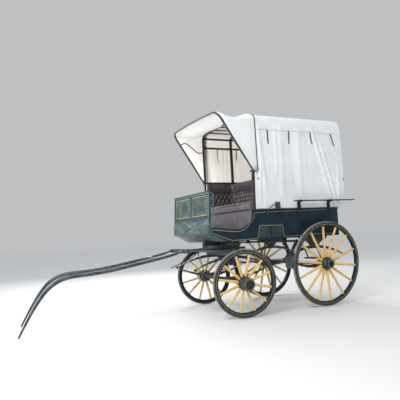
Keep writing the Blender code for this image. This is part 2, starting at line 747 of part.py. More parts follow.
def build_fore_gear(mats, carriage):
    gear = pivot("fore_gear_pivot", (0, 0, 0), Matrix.Rotation(STEER_REST, 4, "Z"), carriage)
    piece("fore_frame", fore_frame(), mats["undercarriage"], gear)
    piece("splinter_bar", splinter_bar(), mats["undercarriage"], gear)
    piece("front_axle", axle(0, FRONT_RADIUS), mats["iron"], gear)
    for side, hand, turn in ((-1, "left", FRONT_LEFT_TURN), (1, "right", FRONT_RIGHT_TURN)):
        spring = elliptic_spring(0, side * FRONT_SPRING_Y, FRONT_SPRING_Z)
        piece("front_spring_" + hand, spring, mats["iron"], gear)
        wheel("front_" + hand, 0, side, FRONT_RADIUS, FRONT_SPOKES, turn, FRONT_NAVE_OUTER,
              FRONT_CAP_RADIUS, mats, gear)
    hinge = pivot("shaft_hinge", (HINGE_X, 0, HINGE_Z), None, gear)
    piece("shafts", shafts(), mats["undercarriage"], hinge)
    piece("upper_turntable", upper_turntable(), mats["undercarriage"], carriage)


# Rear gear

def rear_block(side):
    """Shaped wooden block between a rear spring and the floor."""
    low = REAR_SPRING_Z + SPRING_LENS + STACK + GAP
    high = BODY_BOTTOM - GAP
    x = WHEEL_BASE
    left = [(x - BLOCK_LOW_HALF - (BLOCK_TOP_HALF - BLOCK_LOW_HALF) * t, low + (high - BLOCK_EDGE - low) * sqrt(t))
            for t in (0, 0.08, 0.3, 0.65, 1.0)]
    right = [(2 * x - u, v) for u, v in reversed(left)]
    outline = left + [(x - BLOCK_TOP_HALF, high), (x + BLOCK_TOP_HALF, high)] + right
    y = side * REAR_SPRING_Y
    return plate(outline, y - BLOCK_WIDTH / 2, y + BLOCK_WIDTH / 2)


def brake_gear():
    """Cross shaft under the floor, with its hangers and an arm down to each block."""
    inner = BRAKE_Y[0] - GAP
    parts = [rod((BRAKE_X, -inner, BRAKE_Z), (BRAKE_X, inner, BRAKE_Z), BRAKE_SHAFT_RADIUS)]
    for side in (-1, 1):
        y = side * BRAKE_HANGER_Y
        parts.append(block((BRAKE_X - 0.025, y - 0.02, BRAKE_Z - 0.02),
                           (BRAKE_X + 0.025, y + 0.02, BODY_BOTTOM - GAP)))
        outline = arc((BRAKE_X, BRAKE_Z), 0.026, -0.35, pi * 0.85, 7)
        outline += [(BRAKE_BACK + x, BRAKE_LOW + z) for x, z in ((0.052, 0.143), (0.024, 0.083), (0.052, 0.071),
                                                                  (0.084, 0.133))]
        low, high = sorted((side * inner, side * (inner - BRAKE_ARM)))
        parts.append(plate(outline, low, high))
    lever = tube([(BRAKE_X - x, 0, BRAKE_Z - z) for x, z in ((0, 0), (0.01, 0.052), (0.05, 0.112), (0.09, 0.172))],
                 BRAKE_LEVER, smooth=True, resolution=1)
    parts.append(lever)
    return fused(*parts)


def brake_block(side):
    """Wooden block whose face follows the tyre."""
    radius = REAR_RADIUS + BRAKE_GAP
    centre = (WHEEL_BASE, wheel_height(REAR_RADIUS))
    low_angle = pi - (BRAKE_LOW - centre[1]) / radius
    high_angle = pi - (BRAKE_HIGH - centre[1]) / radius
    face = arc(centre, radius, low_angle, high_angle, 6)
    outline = [(BRAKE_BACK, BRAKE_LOW + 0.02), (BRAKE_BACK + 0.02, BRAKE_LOW)] + face
    outline += [(BRAKE_BACK + 0.03, BRAKE_HIGH), (BRAKE_BACK, BRAKE_HIGH - 0.03)]
    low, high = sorted((side * BRAKE_Y[0], side * BRAKE_Y[1]))
    return plate(outline, low, high)


def rear_step():
    """Tread on two bent irons under the rear of the floor."""
    front = BODY_REAR + STEP_FRONT
    top = BODY_BOTTOM - 0.012
    tread = block((front, -STEP_HALF, STEP_Z), (front + STEP_DEPTH, STEP_HALF, STEP_Z + STEP_THICK))
    parts = [tread]
    for side in (-1, 1):
        y = side * (STEP_HALF - 0.03)
        parts.append(tube([(BODY_REAR - 0.07, y, top), (BODY_REAR - 0.025, y, top - 0.045),
                           (front + 0.04, y, STEP_Z + 0.06), (front + 0.057, y, STEP_Z + 0.012)],
                          STEP_IRON, resolution=2))
        parts.append(block((BODY_REAR - 0.115, y - 0.02, top), (BODY_REAR - 0.04, y + 0.02, BODY_BOTTOM - GAP)))
    return fused(*parts)


def build_rear_gear(mats, carriage):
    piece("rear_axle", axle(WHEEL_BASE, REAR_RADIUS), mats["iron"], carriage)
    for side, hand, turn in ((-1, "left", REAR_LEFT_TURN), (1, "right", REAR_RIGHT_TURN)):
        spring = elliptic_spring(WHEEL_BASE, side * REAR_SPRING_Y, REAR_SPRING_Z)
        piece("rear_spring_" + hand, spring, mats["iron"], carriage)
        piece("rear_block_" + hand, rear_block(side), mats["undercarriage"], carriage)
        piece("brake_block_" + hand, brake_block(side), mats["undercarriage"], carriage)
        wheel("rear_" + hand, WHEEL_BASE, side, REAR_RADIUS, REAR_SPOKES, turn,
              REAR_NAVE_OUTER, REAR_CAP_RADIUS, mats, carriage)
    piece("brake_gear", brake_gear(), mats["iron"], carriage)
    piece("rear_step", rear_step(), mats["iron"], carriage)


# Body

def folded(body, place, beyond, shift):
    """Scores a shape across a plane and moves what lies beyond it by shift(distance, vertex)."""
    shape = bmesh.new()
    shape.from_mesh(body.data)
    bmesh.ops.bisect_plane(shape, geom=shape.verts[:] + shape.edges[:] + shape.faces[:],
                           plane_co=place, plane_no=beyond, dist=0.00001)
    for vert in shape.verts:
        distance = (vert.co - Vector(place)).dot(Vector(beyond))
        if distance > 0:
            vert.co += Vector(shift(distance, vert.co))
    bpy.data.objects.remove(body, do_unlink=True)
    return from_bmesh(shape)


def drawn_in(body):
    """Draws a straight shape inward ahead of the bend, as the sides are drawn in to meet the dash."""
    return folded(body, (BEND_X, 0, 0), (-1, 0, 0),
                  lambda distance, co: (0, -DRAW_IN * distance if co.y > 0 else DRAW_IN * distance, 0))


def body_side():
    """Left side: swept down beside the driver, with its moulding, straps and kick plate."""
    edge_z = BODY_TOP - SWEEP_DROP
    sweep = [(SWEEP_START + (NECK_X - SWEEP_START) * cos(t), edge_z - (edge_z - SWEEP_Z) * sin(t))
             for t in [pi / 2 * i / SWEEP_STEPS for i in range(SWEEP_STEPS + 1)]]
    outline = [(BODY_REAR, BODY_BOTTOM), (BODY_REAR, BODY_TOP), (NECK_X, BODY_TOP)] + sweep
    outline += [(FRONT_EDGE + GAP, NOSE_TOP), (FRONT_EDGE + GAP, TOE_BOTTOM), (FLOOR_FRONT, BODY_BOTTOM)]
    side = drawn_in(plate(outline, -BODY_HALF, -INNER_HALF))
    skin = -BODY_HALF + 0.002
    parts = [side, block((NECK_X, -BODY_HALF - MOULD_PROUD, BODY_TOP - MOULD_HEIGHT),
                         (BODY_REAR + 0.008, skin, BODY_TOP))]
    for x in STRAP_XS:
        parts.append(block((x - STRAP_WIDTH / 2, -BODY_HALF - STRAP_PROUD, BODY_BOTTOM + 0.004),
                           (x + STRAP_WIDTH / 2, skin, BODY_TOP - 0.01)))
    parts.append(plate(KICK_LINE, -BODY_HALF - KICK_PROUD, skin))
    return fused(*parts)


def floor():
    """Floor boards between the sides, with the door sill behind."""
    half = INNER_HALF - GAP
    rear = BODY_REAR - SIDE_THICK - GAP
    shape = block((FLOOR_FRONT + GAP, -half, BODY_BOTTOM), (rear, half, FLOOR_TOP))
    return drawn_in(shape)


def toe_board():
    """Sloping board for the driver's feet."""
    rise = TOE_THICK * 1.05
    outline = [(FLOOR_FRONT, BODY_BOTTOM), (FLOOR_FRONT, FLOOR_TOP), (FRONT_EDGE + GAP, TOE_BOTTOM + rise),
               (FRONT_EDGE + GAP, TOE_BOTTOM)]
    half = INNER_HALF - GAP
    return drawn_in(plate(outline, -half, half))


def dash():
    """Framed dash with two sunk panels over a plain lower board."""
    upper = block((DASH_X, -DASH_HALF, TOE_TOP - 0.01), (DASH_X + DASH_THICK, DASH_HALF, DASH_TOP))
    cutters = []
    for side in (-1, 1):
        low, high = sorted((side * DASH_STILE, side * (DASH_HALF - DASH_FRAME)))
        cutters.append(block((DASH_X - 0.02, low, DASH_BOTTOM + DASH_FRAME),
                             (DASH_X + PANEL_SUNK, high, DASH_TOP - DASH_FRAME)))
    upper = carved(upper, *cutters)
    ledge = block((DASH_X - 0.008, -DASH_HALF - 0.003, DASH_BOTTOM - 0.006),
                  (DASH_X + 0.02, DASH_HALF + 0.003, DASH_BOTTOM + 0.008))
    cap = block((DASH_X - 0.006, -DASH_HALF - 0.004, DASH_TOP - 0.014),
                (DASH_X + DASH_THICK + 0.004, DASH_HALF + 0.004, DASH_TOP))
    upper = fused(upper, ledge, cap)
    slope = DASH_RAKE / (DASH_TOP - DASH_BOTTOM)
    upper = folded(upper, (0, 0, DASH_BOTTOM), (0, 0, 1), lambda distance, co: (slope * distance, 0, 0))
    lower = block((DASH_X - 0.012, -DASH_HALF - 0.006, TOE_BOTTOM),
                  (FRONT_EDGE, DASH_HALF + 0.006, TOE_TOP))
    return fused(upper, lower)


def dash_back(z):
    return DASH_X + DASH_THICK + DASH_RAKE * (z - DASH_BOTTOM) / (DASH_TOP - DASH_BOTTOM)


def dash_rail(side):
    """Thin hand rail standing off the back of the dash."""
    y = side * (DASH_HALF - 0.016)
    off = RAIL_OFF
    top, low = DASH_TOP - 0.030, DASH_BOTTOM + 0.012
    start_x, end_x = dash_back(top) + 3 * GAP, dash_back(low) + 3 * GAP
    return tube([(start_x, y, top), (start_x + off * 0.55, y, top), (start_x + off, y, top - 0.022),
                 (end_x + off, y, low + 0.022), (end_x + off * 0.55, y, low), (end_x, y, low)],
                RAIL_ROD, resolution=2)


def rear_panel():
    """Rear end of the body: a panel each side of the doorway and the sill that joins them."""
    half = INNER_HALF - GAP
    sill = FLOOR_TOP
    outline = [(-half, BODY_BOTTOM), (half, BODY_BOTTOM), (half, BODY_TOP), (DOOR_HALF, BODY_TOP),
               (DOOR_HALF, sill), (-DOOR_HALF, sill), (-DOOR_HALF, BODY_TOP), (-half, BODY_TOP)]
    parts = [plate(outline, BODY_REAR - SIDE_THICK, BODY_REAR, across="X")]
    for z in DOOR_HINGE_ZS:
        for s in (-1, 1):
            parts.append(hinge_knuckle(z + s * (KNUCKLE + GAP), DOOR_HALF + 0.045))
    return fused(*parts)


def hinge_knuckle(z, leaf_y):
    """One knuckle of a door hinge with its leaf; leaf_y is where the leaf ends."""
    half = KNUCKLE / 2
    barrel = rod((HINGE_PIN_X, HINGE_PIN_Y, z - half), (HINGE_PIN_X, HINGE_PIN_Y, z + half), KNUCKLE_RADIUS)
    low, high = sorted((HINGE_PIN_Y + (0.002 if leaf_y > HINGE_PIN_Y else -0.002), leaf_y))
    leaf = block((BODY_REAR - 0.001, low, z - half), (BODY_REAR + 0.004, high, z + half))
    return fused(barrel, leaf)


def rear_door():
    """Half-height door, with its hinge knuckles and handle."""
    half = DOOR_HALF - DOOR_PLAY
    board = block((BODY_REAR - SIDE_THICK, -half, FLOOR_TOP + DOOR_PLAY), (BODY_REAR, half, BODY_TOP))
    parts = [board]
    for z in DOOR_HINGE_ZS:
        parts.append(hinge_knuckle(z, DOOR_HALF - 0.055))
    grip_y = -half + 0.05
    grip_x = BODY_REAR + HANDLE_OUT
    parts.append(rod((BODY_REAR - 0.005, grip_y, HANDLE_Z), (grip_x + SINK, grip_y, HANDLE_Z), HANDLE_ROD, sides=8))
    parts.append(rod((grip_x, grip_y - 0.02, HANDLE_Z), (grip_x, grip_y - 0.02 + HANDLE_LENGTH, HANDLE_Z),
                     HANDLE_ROD, HANDLE_ROD * 0.7, sides=8))
    return fused(*parts)


def side_rail():
    """Left outside rail: a thin board on two brackets that stand on the top moulding."""
    face = -BODY_HALF - MOULD_PROUD - GAP
    edge = -BODY_HALF - RAIL_BOARD_OUT
    top = RAIL_BOARD_Z + RAIL_BOARD_THICK
    half = BRACKET_WIDTH / 2
    bolt_y = edge + RAIL_BOARD_WIDTH * 0.6
    parts = [block((RAIL_BOARD_FRONT, edge, RAIL_BOARD_Z),
                   (BODY_REAR + RAIL_BOARD_OVER, edge + RAIL_BOARD_WIDTH, top))]
    for x in RAIL_BRACKET_XS:
        parts.append(block((x - half, face - 0.012, BODY_TOP - 0.03), (x + half, face, RAIL_BOARD_Z)))
        parts.append(block((x - half, edge + 0.03, RAIL_BOARD_Z - 0.010), (x + half, face, RAIL_BOARD_Z + SINK)))
        parts.append(rod((x, bolt_y, top - SINK), (x, bolt_y, top + 0.013), 0.011, 0.006, sides=8))
    return fused(*parts)


def lamp_socket():
    """Square tube that takes a lamp's stem, on a curved iron from the body side."""
    half = LAMP_SIZE / 2
    socket = block((LAMP_X - half, -LAMP_Y - half, LAMP_BOTTOM), (LAMP_X + half, -LAMP_Y + half, LAMP_TOP))
    room = half - LAMP_WALL
    hole = block((LAMP_X - room, -LAMP_Y - room, LAMP_FLOOR), (LAMP_X + room, -LAMP_Y + room, LAMP_TOP + 0.02))
    socket = carved(socket, hole)
    skin = -BODY_HALF - GAP
    foot_x, arm_z = LAMP_X - 0.142, LAMP_FLOOR + 0.025
    iron = tube([(foot_x, skin - 0.006, arm_z - 0.108), (foot_x + 0.007, skin - 0.020, arm_z - 0.074),
                 (foot_x + 0.035, skin - 0.040, arm_z - 0.026), (foot_x + 0.075, -LAMP_Y, arm_z - 0.002),
                 (LAMP_X - half + 0.003, -LAMP_Y, arm_z)], LAMP_ROD, smooth=True)
    foot = block((foot_x - 0.015, skin - 0.008, arm_z - 0.134), (foot_x + 0.017, skin, arm_z - 0.092))
    return fused(socket, iron, foot)


def build_body(mats, carriage):
    piece("floor", floor(), mats["boards"], carriage)
    piece("toe_board", toe_board(), mats["worn"], carriage)
    piece("dash", dash(), mats["worn"], carriage)
    piece("rear_panel", rear_panel(), mats["body"], carriage)
    shape = body_side()
    piece("body_side_right", mirrored(shape), mats["body"], carriage)
    piece("body_side_left", shape, mats["body"], carriage)
    shape = side_rail()
    piece("side_rail_right", mirrored(shape), mats["body"], carriage)
    piece("side_rail_left", shape, mats["body"], carriage)
    shape = lamp_socket()
    piece("lamp_socket_right", mirrored(shape), mats["iron"], carriage)
    piece("lamp_socket_left", shape, mats["iron"], carriage)
    for side, hand in ((-1, "left"), (1, "right")):
        piece("dash_rail_" + hand, dash_rail(side), mats["bright"], carriage)
    hinge = pivot("door_hinge", (HINGE_PIN_X, HINGE_PIN_Y, 0), None, carriage)
    door = rear_door()
    door.data.transform(Matrix.Translation((-HINGE_PIN_X, -HINGE_PIN_Y, 0)))
    piece("rear_door", door, mats["body"], hinge)


# Seats

def seat_box():
    """Driver's seat: front riser, seat board and the wall behind, all between the sides."""
    board = SEAT_BOARD
    half = INNER_HALF - GAP
    low = FLOOR_TOP + GAP
    top = SEAT_BOARD_TOP - GAP
    rear = BACK_X
    outline = [(RISER_X, low), (RISER_X, top), (rear, top), (rear, low), (rear - board, low),
               (rear - board, top - board), (RISER_X + board, top - board), (RISER_X + board, low)]
    narrow = WING_INNER - GAP
    body = plate(outline, -half, half)
    for side in (-1, 1):
        low_y, high_y = sorted((side * narrow, side * (half + 0.01)))
        body = carved(body, block((RISER_X - 0.1, low_y, BODY_TOP), (rear + 0.1, high_y, top + 0.1)))
    return body


def seat_back():
    """Back board and two wings round the driver's seat."""
    low, top = SEAT_BOARD_TOP, RAIL_ZS[0] - RAIL_HEIGHT / 2 - GAP
    front = FIRST_BOW_X + BOW_WIDTH / 2
    back = block((BACK_X - BACK_BOARD, -WING_OUTER, low), (BACK_X, WING_OUTER, top))
    parts = [back]
    for side in (-1, 1):
        low_y, high_y = sorted((side * WING_INNER, side * WING_OUTER))
        outline = [(front, low), (BACK_X - 0.005, low), (BACK_X - 0.005, top), (front, top)]
        parts.append(plate(outline, low_y, high_y))
    return fused(*parts)


def seat_upholstery():
    """Padding round the seat: deep where it is buttoned, a flat band above."""
    low = SEAT_TOP + GAP
    top = RAIL_ZS[0] - RAIL_HEIGHT / 2 - 0.006
    step = top - BAND_HEIGHT
    front = FIRST_BOW_X + BOW_WIDTH / 2 + 0.006
    back = BACK_X - BACK_BOARD - GAP
    half = WING_INNER - GAP
    deep = block((back - PAD_THICK, -half, low), (back, half, step))
    band = block((back - PAD_THICK * 0.4, -half, step - 0.005), (back, half, top))
    parts = [deep, band]
    for side in (-1, 1):
        inner = side * (half - PAD_THICK * 0.75)
        low_y, high_y = sorted((inner, side * half))
        parts.append(block((front, low_y, low), (back - 0.01, high_y, step)))
        inner = side * (half - PAD_THICK * 0.3)
        low_y, high_y = sorted((inner, side * half))
        parts.append(block((front, low_y, step - 0.005), (back - 0.01, high_y, top)))
    return fused(*parts)


def seat_cushion():
    half = WING_INNER - GAP
    return block((SEAT_FRONT, -half, SEAT_BOARD_TOP), (BACK_X - BACK_BOARD - GAP, half, SEAT_TOP))


def bench():
    """Left passenger bench: a riser along the gangway and a seat board."""
    half = -(INNER_HALF - GAP)
    low = FLOOR_TOP + GAP
    outline = [(-BENCH_FRONT_Y, low), (-BENCH_FRONT_Y, BENCH_TOP), (half, BENCH_TOP),
               (half, BENCH_TOP - BENCH_BOARD), (-BENCH_FRONT_Y - BENCH_BOARD, BENCH_TOP - BENCH_BOARD),
               (-BENCH_FRONT_Y - BENCH_BOARD, low)]
    return plate(outline, BENCH_XS[0], BENCH_XS[1], across="X")


def bench_cushion():
    outer = TILT_HALF - BOW_WIDTH - SINK
    return block((BENCH_XS[0], -outer, BENCH_TOP + GAP), (BENCH_XS[1], -BENCH_FRONT_Y + 0.012,
                                                          BENCH_TOP + GAP + BENCH_CUSHION))


def build_seats(mats, carriage):
    piece("seat_box", seat_box(), mats["leather"], carriage)
    piece("seat_back", seat_back(), mats["leather"], carriage)
    piece("seat_upholstery", seat_upholstery(), mats["tufting"], carriage)
    piece("seat_cushion", seat_cushion(), mats["leather"], carriage)
    shape = bench()
    piece("bench_right", mirrored(shape), mats["boards"], carriage)
    piece("bench_left", shape, mats["boards"], carriage)
    shape = bench_cushion()
    piece("bench_cushion_right", mirrored(shape), mats["leather"], carriage)
    piece("bench_cushion_left", shape, mats["leather"], carriage)


# Tilt

def arch(half, foot, top, corner, crown=BOW_CROWN):
    """Points of a bow, from its left foot over the crowned top to its right foot."""
    shoulder = top - crown
    right = [(half, foot)]
    right += arc((half - corner, shoulder - corner), corner, 0, pi / 2, CORNER_STEPS)
    flat = half - corner
    right += [(flat * f, top - crown * f * f) for f in CROWN_STATIONS[2:0:-1]]
    left = [(-y, z) for y, z in right]
    return left + [(0, top)] + right[::-1]


def crown_height(y, half, top, corner, crown=BOW_CROWN):
    """Height of an arch's top line at y, along the straight runs between its points."""
    stations = [(half - corner) * f for f in CROWN_STATIONS]
    heights = [top - crown * f * f for f in CROWN_STATIONS]
    for a, b, low, high in zip(stations, stations[1:], heights, heights[1:]):
        if abs(y) <= b:
            return low + (high - low) * (abs(y) - a) / (b - a)
    return heights[-1]


def hoop_shape(half, foot, top, corner, thick, crown=BOW_CROWN):
    """Closed outline of a bow of even thickness, given its outer line."""
    outer = arch(half, foot, top, corner, crown)
    inner = arch(half - thick, foot, top - thick, corner - thick, crown)
    return outer + inner[::-1]


def tilt_frame():
    """Four bows on the body, the end bow over the door, and the rails and laths that tie them."""
    half_width = BOW_WIDTH / 2
    parts = []
    for x in BOW_XS:
        parts.append(plate(hoop_shape(TILT_HALF, BODY_TOP + GAP, BOW_TOP, BOW_CORNER, BOW_WIDTH),
                           x - half_width, x + half_width, across="X"))
    parts.append(plate(hoop_shape(TILT_HALF, RAIL_ZS[0] - RAIL_HEIGHT / 2, BOW_TOP, BOW_CORNER, BOW_WIDTH),
                       END_BOW_X - half_width, END_BOW_X + half_width, across="X"))
    front, rear = FIRST_BOW_X - half_width + 0.002, END_BOW_X + half_width - 0.002
    for side in (-1, 1):
        for z in RAIL_ZS:
            face = TILT_HALF - BOW_WIDTH
            low_y, high_y = sorted((side * (face - RAIL_THICK), side * (face + 0.001)))
            parts.append(block((front, low_y, z - RAIL_HEIGHT / 2), (rear, high_y, z + RAIL_HEIGHT / 2)))
    for y in sorted({s * y for y in LATH_YS for s in (-1, 1)}):
        edge = abs(y) + LATH_WIDTH / 2
        top = crown_height(edge, TILT_HALF, BOW_TOP, BOW_CORNER) + LATH_THICK - 0.003
        parts.append(block((front, y - LATH_WIDTH / 2, top - LATH_THICK), (rear, y + LATH_WIDTH / 2, top)))
    for side in (-1, 1):
        y = side * (TILT_HALF - SINK)
        end = side * (HOOP_HALF + SINK)
        parts.append(rod((FIRST_BOW_X, y, PIVOT_Z), (FIRST_BOW_X, end, PIVOT_Z), HOOD_BOLT, sides=12))
    return fused(*parts)


def canvas_roof():
    """Roof sheet from eave to eave."""
    top = BOW_TOP + LATH_THICK - 0.003 + GAP + CANVAS
    outline = hoop_shape(ROOF_HALF + CANVAS, EAVE_Z, top, BOW_CORNER + 0.012, CANVAS)
    return plate(outline, CANVAS_FRONT, CANVAS_REAR, across="X")


def side_curtain():
    """Left side sheet, notched round the bolt that the hood turns on."""
    inner = TILT_HALF + GAP
    sheet = block((CANVAS_FRONT, -inner - CANVAS, BODY_TOP + SINK), (CANVAS_REAR, -inner, EAVE_Z + CURTAIN_LAP))
    room = HOOD_BOLT + SINK
    notch = block((CANVAS_FRONT - 0.01, -inner - 0.02, PIVOT_Z - room),
                  (FIRST_BOW_X + room, -inner + 0.02, PIVOT_Z + room))
    return carved(sheet, notch)


def rear_curtain():
    """Curtain over the doorway, filling the end bow."""
    face = END_BOW_X + BOW_WIDTH / 2 + GAP
    outline = arch(TILT_HALF, BODY_TOP + 0.05, BOW_TOP, BOW_CORNER)
    return plate(outline, face, face + CANVAS, across="X")


def hood_hoop():
    """Front hoop in its own leaning plane, with an eye at each foot and the S-shaped stays."""
    half_depth = HOOP_DEPTH / 2
    hoop = plate(hoop_shape(HOOP_HALF, 0.0, HOOD_REACH, HOOD_CORNER, HOOP_SIZE, HOOD_CROWN),
                 -half_depth, half_depth, across="X")
    parts = [hoop]
    for side in (-1, 1):
        parts.append(rod((0, side * (HOOP_HALF - HOOP_SIZE), 0), (0, side * HOOP_HALF, 0), HOOP_EYE, sides=16))
    lean = Matrix.Rotation(-HOOD_LEAN, 4, "Y")
    for side in (-1, 1):
        start = STAY_LINE[0]
        route = [(start[0] - 0.001, HOOP_HALF - 0.010, start[1] + 0.005),
                 (start[0] - 0.003, STAY_Y + 0.035, start[1])]
        route += [(x, STAY_Y, drop) for x, drop in STAY_LINE[1:]]
        local = [lean @ Vector((x - FIRST_BOW_X, side * y, BOW_TOP - drop - PIVOT_Z)) for x, y, drop in route]
        parts.append(tube(local, STAY_ROD, smooth=True, resolution=0))
    body = fused(*parts)
    bore = HOOD_BOLT / cos(pi / 12) + SLIP
    reach = HOOP_HALF + 0.05
    return carved(body, rod((0, -reach, 0), (0, reach, 0), bore))


def hood_canvas():
    """Sheet from the front hoop back to the first bow, slack between them."""
    thick = HOOD_CANVAS
    half = HOOP_SIZE / 2
    turn = Matrix.Rotation(HOOD_LEAN, 4, "Y")
    front_line = arch(HOOP_HALF - half, HOOD_START, HOOD_REACH - half, HOOD_CORNER - half, HOOD_CROWN)
    back_line = arch(TILT_HALF - 0.006, PIVOT_Z + HOOD_START, BOW_TOP - 0.006, BOW_CORNER - 0.006)
    off = HOOP_DEPTH / 2 + thick * 0.6
    back_x = FIRST_BOW_X - BOW_WIDTH / 2 - thick * 0.6
    rows = []
    for (fy, fz), (by, bz) in zip(front_line, back_line):
        front = turn @ Vector((off, fy, fz)) + Vector((FIRST_BOW_X, 0, PIVOT_Z))
        back = Vector((back_x, by, bz))
        slack = HOOD_SLACK * max(0.0, (fz - HOOD_START) / HOOD_REACH) ** 2
        middle = (front + back) / 2
        middle.z -= slack * (1.0 if abs(fy) < HOOP_HALF - 0.05 else 0.35)
        middle.y *= 1 - 0.02 * slack
        rows.append((front, middle, back))
    shape = bmesh.new()
    grid = [[shape.verts.new(p) for p in row] for row in rows]
    for row, after in zip(grid, grid[1:]):
        for i in range(2):
            shape.faces.new((row[i], row[i + 1], after[i + 1], after[i]))
    bmesh.ops.recalc_face_normals(shape, faces=shape.faces)
    sheet = from_bmesh(shape)
    solid = sheet.modifiers.new("Solidify", "SOLIDIFY")
    solid.thickness = thick
    solid.offset = 0
    return baked(sheet)


def build_tilt(mats, carriage):
    piece("tilt_frame", tilt_frame(), mats["frame"], carriage)
    piece("canvas_roof", canvas_roof(), mats["canvas"], carriage)
    piece("canvas_rear", rear_curtain(), mats["canvas"], carriage)
    shape = side_curtain()
    piece("canvas_right", mirrored(shape), mats["canvas"], carriage)
    piece("canvas_left", shape, mats["canvas"], carriage)
    hinge = pivot("hood_pivot", (FIRST_BOW_X, 0, PIVOT_Z), Matrix.Rotation(HOOD_LEAN, 4, "Y"), carriage)
    piece("hood_hoop", hood_hoop(), mats["frame"], hinge)
    piece("hood_canvas", hood_canvas(), mats["canvas"], carriage)


def centre_on_ground(carriage):
    """Moves the carriage so that the origin is on the ground below the middle of its length."""
    bpy.context.view_layer.update()
    graph = bpy.context.evaluated_depsgraph_get()
    corners = []
    for body in PARTS.objects:
        if body.type == "MESH":
            mesh = body.evaluated_get(graph).to_mesh()
            corners.extend(body.matrix_world @ v.co for v in mesh.vertices)
    middle = (min(c.x for c in corners) + max(c.x for c in corners)) / 2
    carriage.location = (-middle, 0, -min(c.z for c in corners))
    bpy.context.view_layer.update()


def main():
    start()
    mats = {
        "body": finish_material("body_paint", "1d2f38", 0.35),
        "worn": finish_material("worn_dash_paint", "3f5152", 0.6),
        "undercarriage": finish_material("undercarriage_paint", "1c2a33", 0.5),
        "iron": finish_material("black_iron", "23272b", 0.5, 0.4),
        "bright": finish_material("bright_steel", "8f9498", 0.35, 1.0),
        "yellow": finish_material("yellow_spoke_paint", "d9a94c", 0.45),
        "rubber": finish_material("grey_rubber", "5a5450", 0.8),
        "boards": finish_material("floor_boards", "4a4238", 0.7),
        "leather": finish_material("brown_leather", "4a3c40", 0.5),
        "tufting": finish_material("dark_buttoned_leather", "2c2424", 0.5),
        "frame": finish_material("dark_bow_wood", "34302f", 0.5),
        "canvas": finish_material("white_canvas", "dfe4e8", 0.85),
    }
    carriage = pivot("carriage", (0, 0, 0))
    build_fore_gear(mats, carriage)
    build_rear_gear(mats, carriage)
    build_body(mats, carriage)
    build_seats(mats, carriage)
    build_tilt(mats, carriage)
    centre_on_ground(carriage)


main()
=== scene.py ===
"""Looks of a horse-drawn covered wagonette: painted body, canvas tilt and hood, spoked wheels.

Metres, +Z up, the front of the carriage faces -X.  Lengths along the carriage are counted from the
front axle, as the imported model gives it, and heights from the ground.
"""
import json
from math import atan2, cos, pi, radians, sin, sqrt

import bmesh
import bpy
import numpy as np
from mathutils import Matrix, Vector, noise

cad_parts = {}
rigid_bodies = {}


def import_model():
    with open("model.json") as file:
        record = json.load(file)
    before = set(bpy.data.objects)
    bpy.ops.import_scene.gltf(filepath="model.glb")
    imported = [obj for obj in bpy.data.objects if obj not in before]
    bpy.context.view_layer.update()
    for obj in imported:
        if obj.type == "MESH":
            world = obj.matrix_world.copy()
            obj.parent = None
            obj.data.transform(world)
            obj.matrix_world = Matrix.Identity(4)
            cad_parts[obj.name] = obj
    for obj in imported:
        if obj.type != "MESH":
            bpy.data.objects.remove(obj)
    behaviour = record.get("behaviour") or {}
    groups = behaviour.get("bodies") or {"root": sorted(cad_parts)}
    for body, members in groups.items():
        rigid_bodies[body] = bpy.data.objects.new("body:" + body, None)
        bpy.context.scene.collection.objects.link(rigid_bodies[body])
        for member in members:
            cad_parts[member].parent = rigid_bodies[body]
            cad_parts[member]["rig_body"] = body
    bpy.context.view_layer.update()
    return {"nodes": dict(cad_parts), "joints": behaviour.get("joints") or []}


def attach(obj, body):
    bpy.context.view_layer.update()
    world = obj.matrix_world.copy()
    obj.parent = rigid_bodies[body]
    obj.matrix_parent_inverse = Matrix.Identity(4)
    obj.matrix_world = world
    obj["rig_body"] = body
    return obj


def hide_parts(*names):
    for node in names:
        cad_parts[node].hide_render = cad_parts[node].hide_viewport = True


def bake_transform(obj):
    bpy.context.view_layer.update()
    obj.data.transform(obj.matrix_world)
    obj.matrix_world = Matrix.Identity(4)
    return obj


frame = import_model()
nodes = frame["nodes"]
joints = {joint["name"]: joint for joint in frame["joints"]}
AXLE_X = joints["steering"]["pos_m"][0]
UP = Vector((0, 0, 1))
SIDES = ((-1, "left"), (1, "right"))

# Sizes of the carriage, as in its source
TYRE_DEPTH = 0.022
TYRE_WIDTH = 0.040
FELLOE_DEPTH = 0.043
FELLOE_WIDTH = 0.048
DISH = 0.022
NAVE_RADIUS = 0.089
NAVE_INNER = 0.095
BORE_RADIUS = 0.0225
BODY_HALF = 0.685
BODY_TOP = 1.353
BEND_X = 0.10
DRAW_IN = 0.2573
STRAP_XS = (0.387, 0.906, 1.423)
STRAP_WIDTH = 0.030
STRAP_PROUD = 0.004
KICK_FRONT, KICK_REAR = 0.17, 0.60
KICK_LOW, KICK_HIGH = 0.985, 1.146
KICK_PROUD = 0.003
DASH_X = -0.452
DASH_HALF = 0.539
DASH_BOTTOM = 1.255
DASH_TOP = 1.62
DASH_RAKE = 0.022
BOW_XS = (0.165, 0.667, 1.17, 1.535)
END_BOW_X = 1.700
BOW_WIDTH = 0.035
BOW_TOP = 2.640
BOW_CORNER = 0.09
BOW_CROWN = 0.022
TILT_HALF = 0.682
PIVOT_Z = 1.857
EAVE_Z = 2.420
CANVAS_FRONT = 0.150
HOOD_X = -0.352
HOOD_Z = 2.646
HOOP_HALF = 0.7036
HOOP_SIZE = 0.015
HOOP_DEPTH = 0.026
HOOD_CORNER = 0.132
HOOD_CROWN = 0.012
RAIL_ZS = (1.862, 2.415, 2.560)
RAIL_HEIGHT = 0.028
RAIL_THICK = 0.014
LATH_YS = (0.0, 0.167, 0.333, 0.50)
LATH_WIDTH = 0.032
LATH_THICK = 0.010
FIRST_BOW_DEEP = 0.016
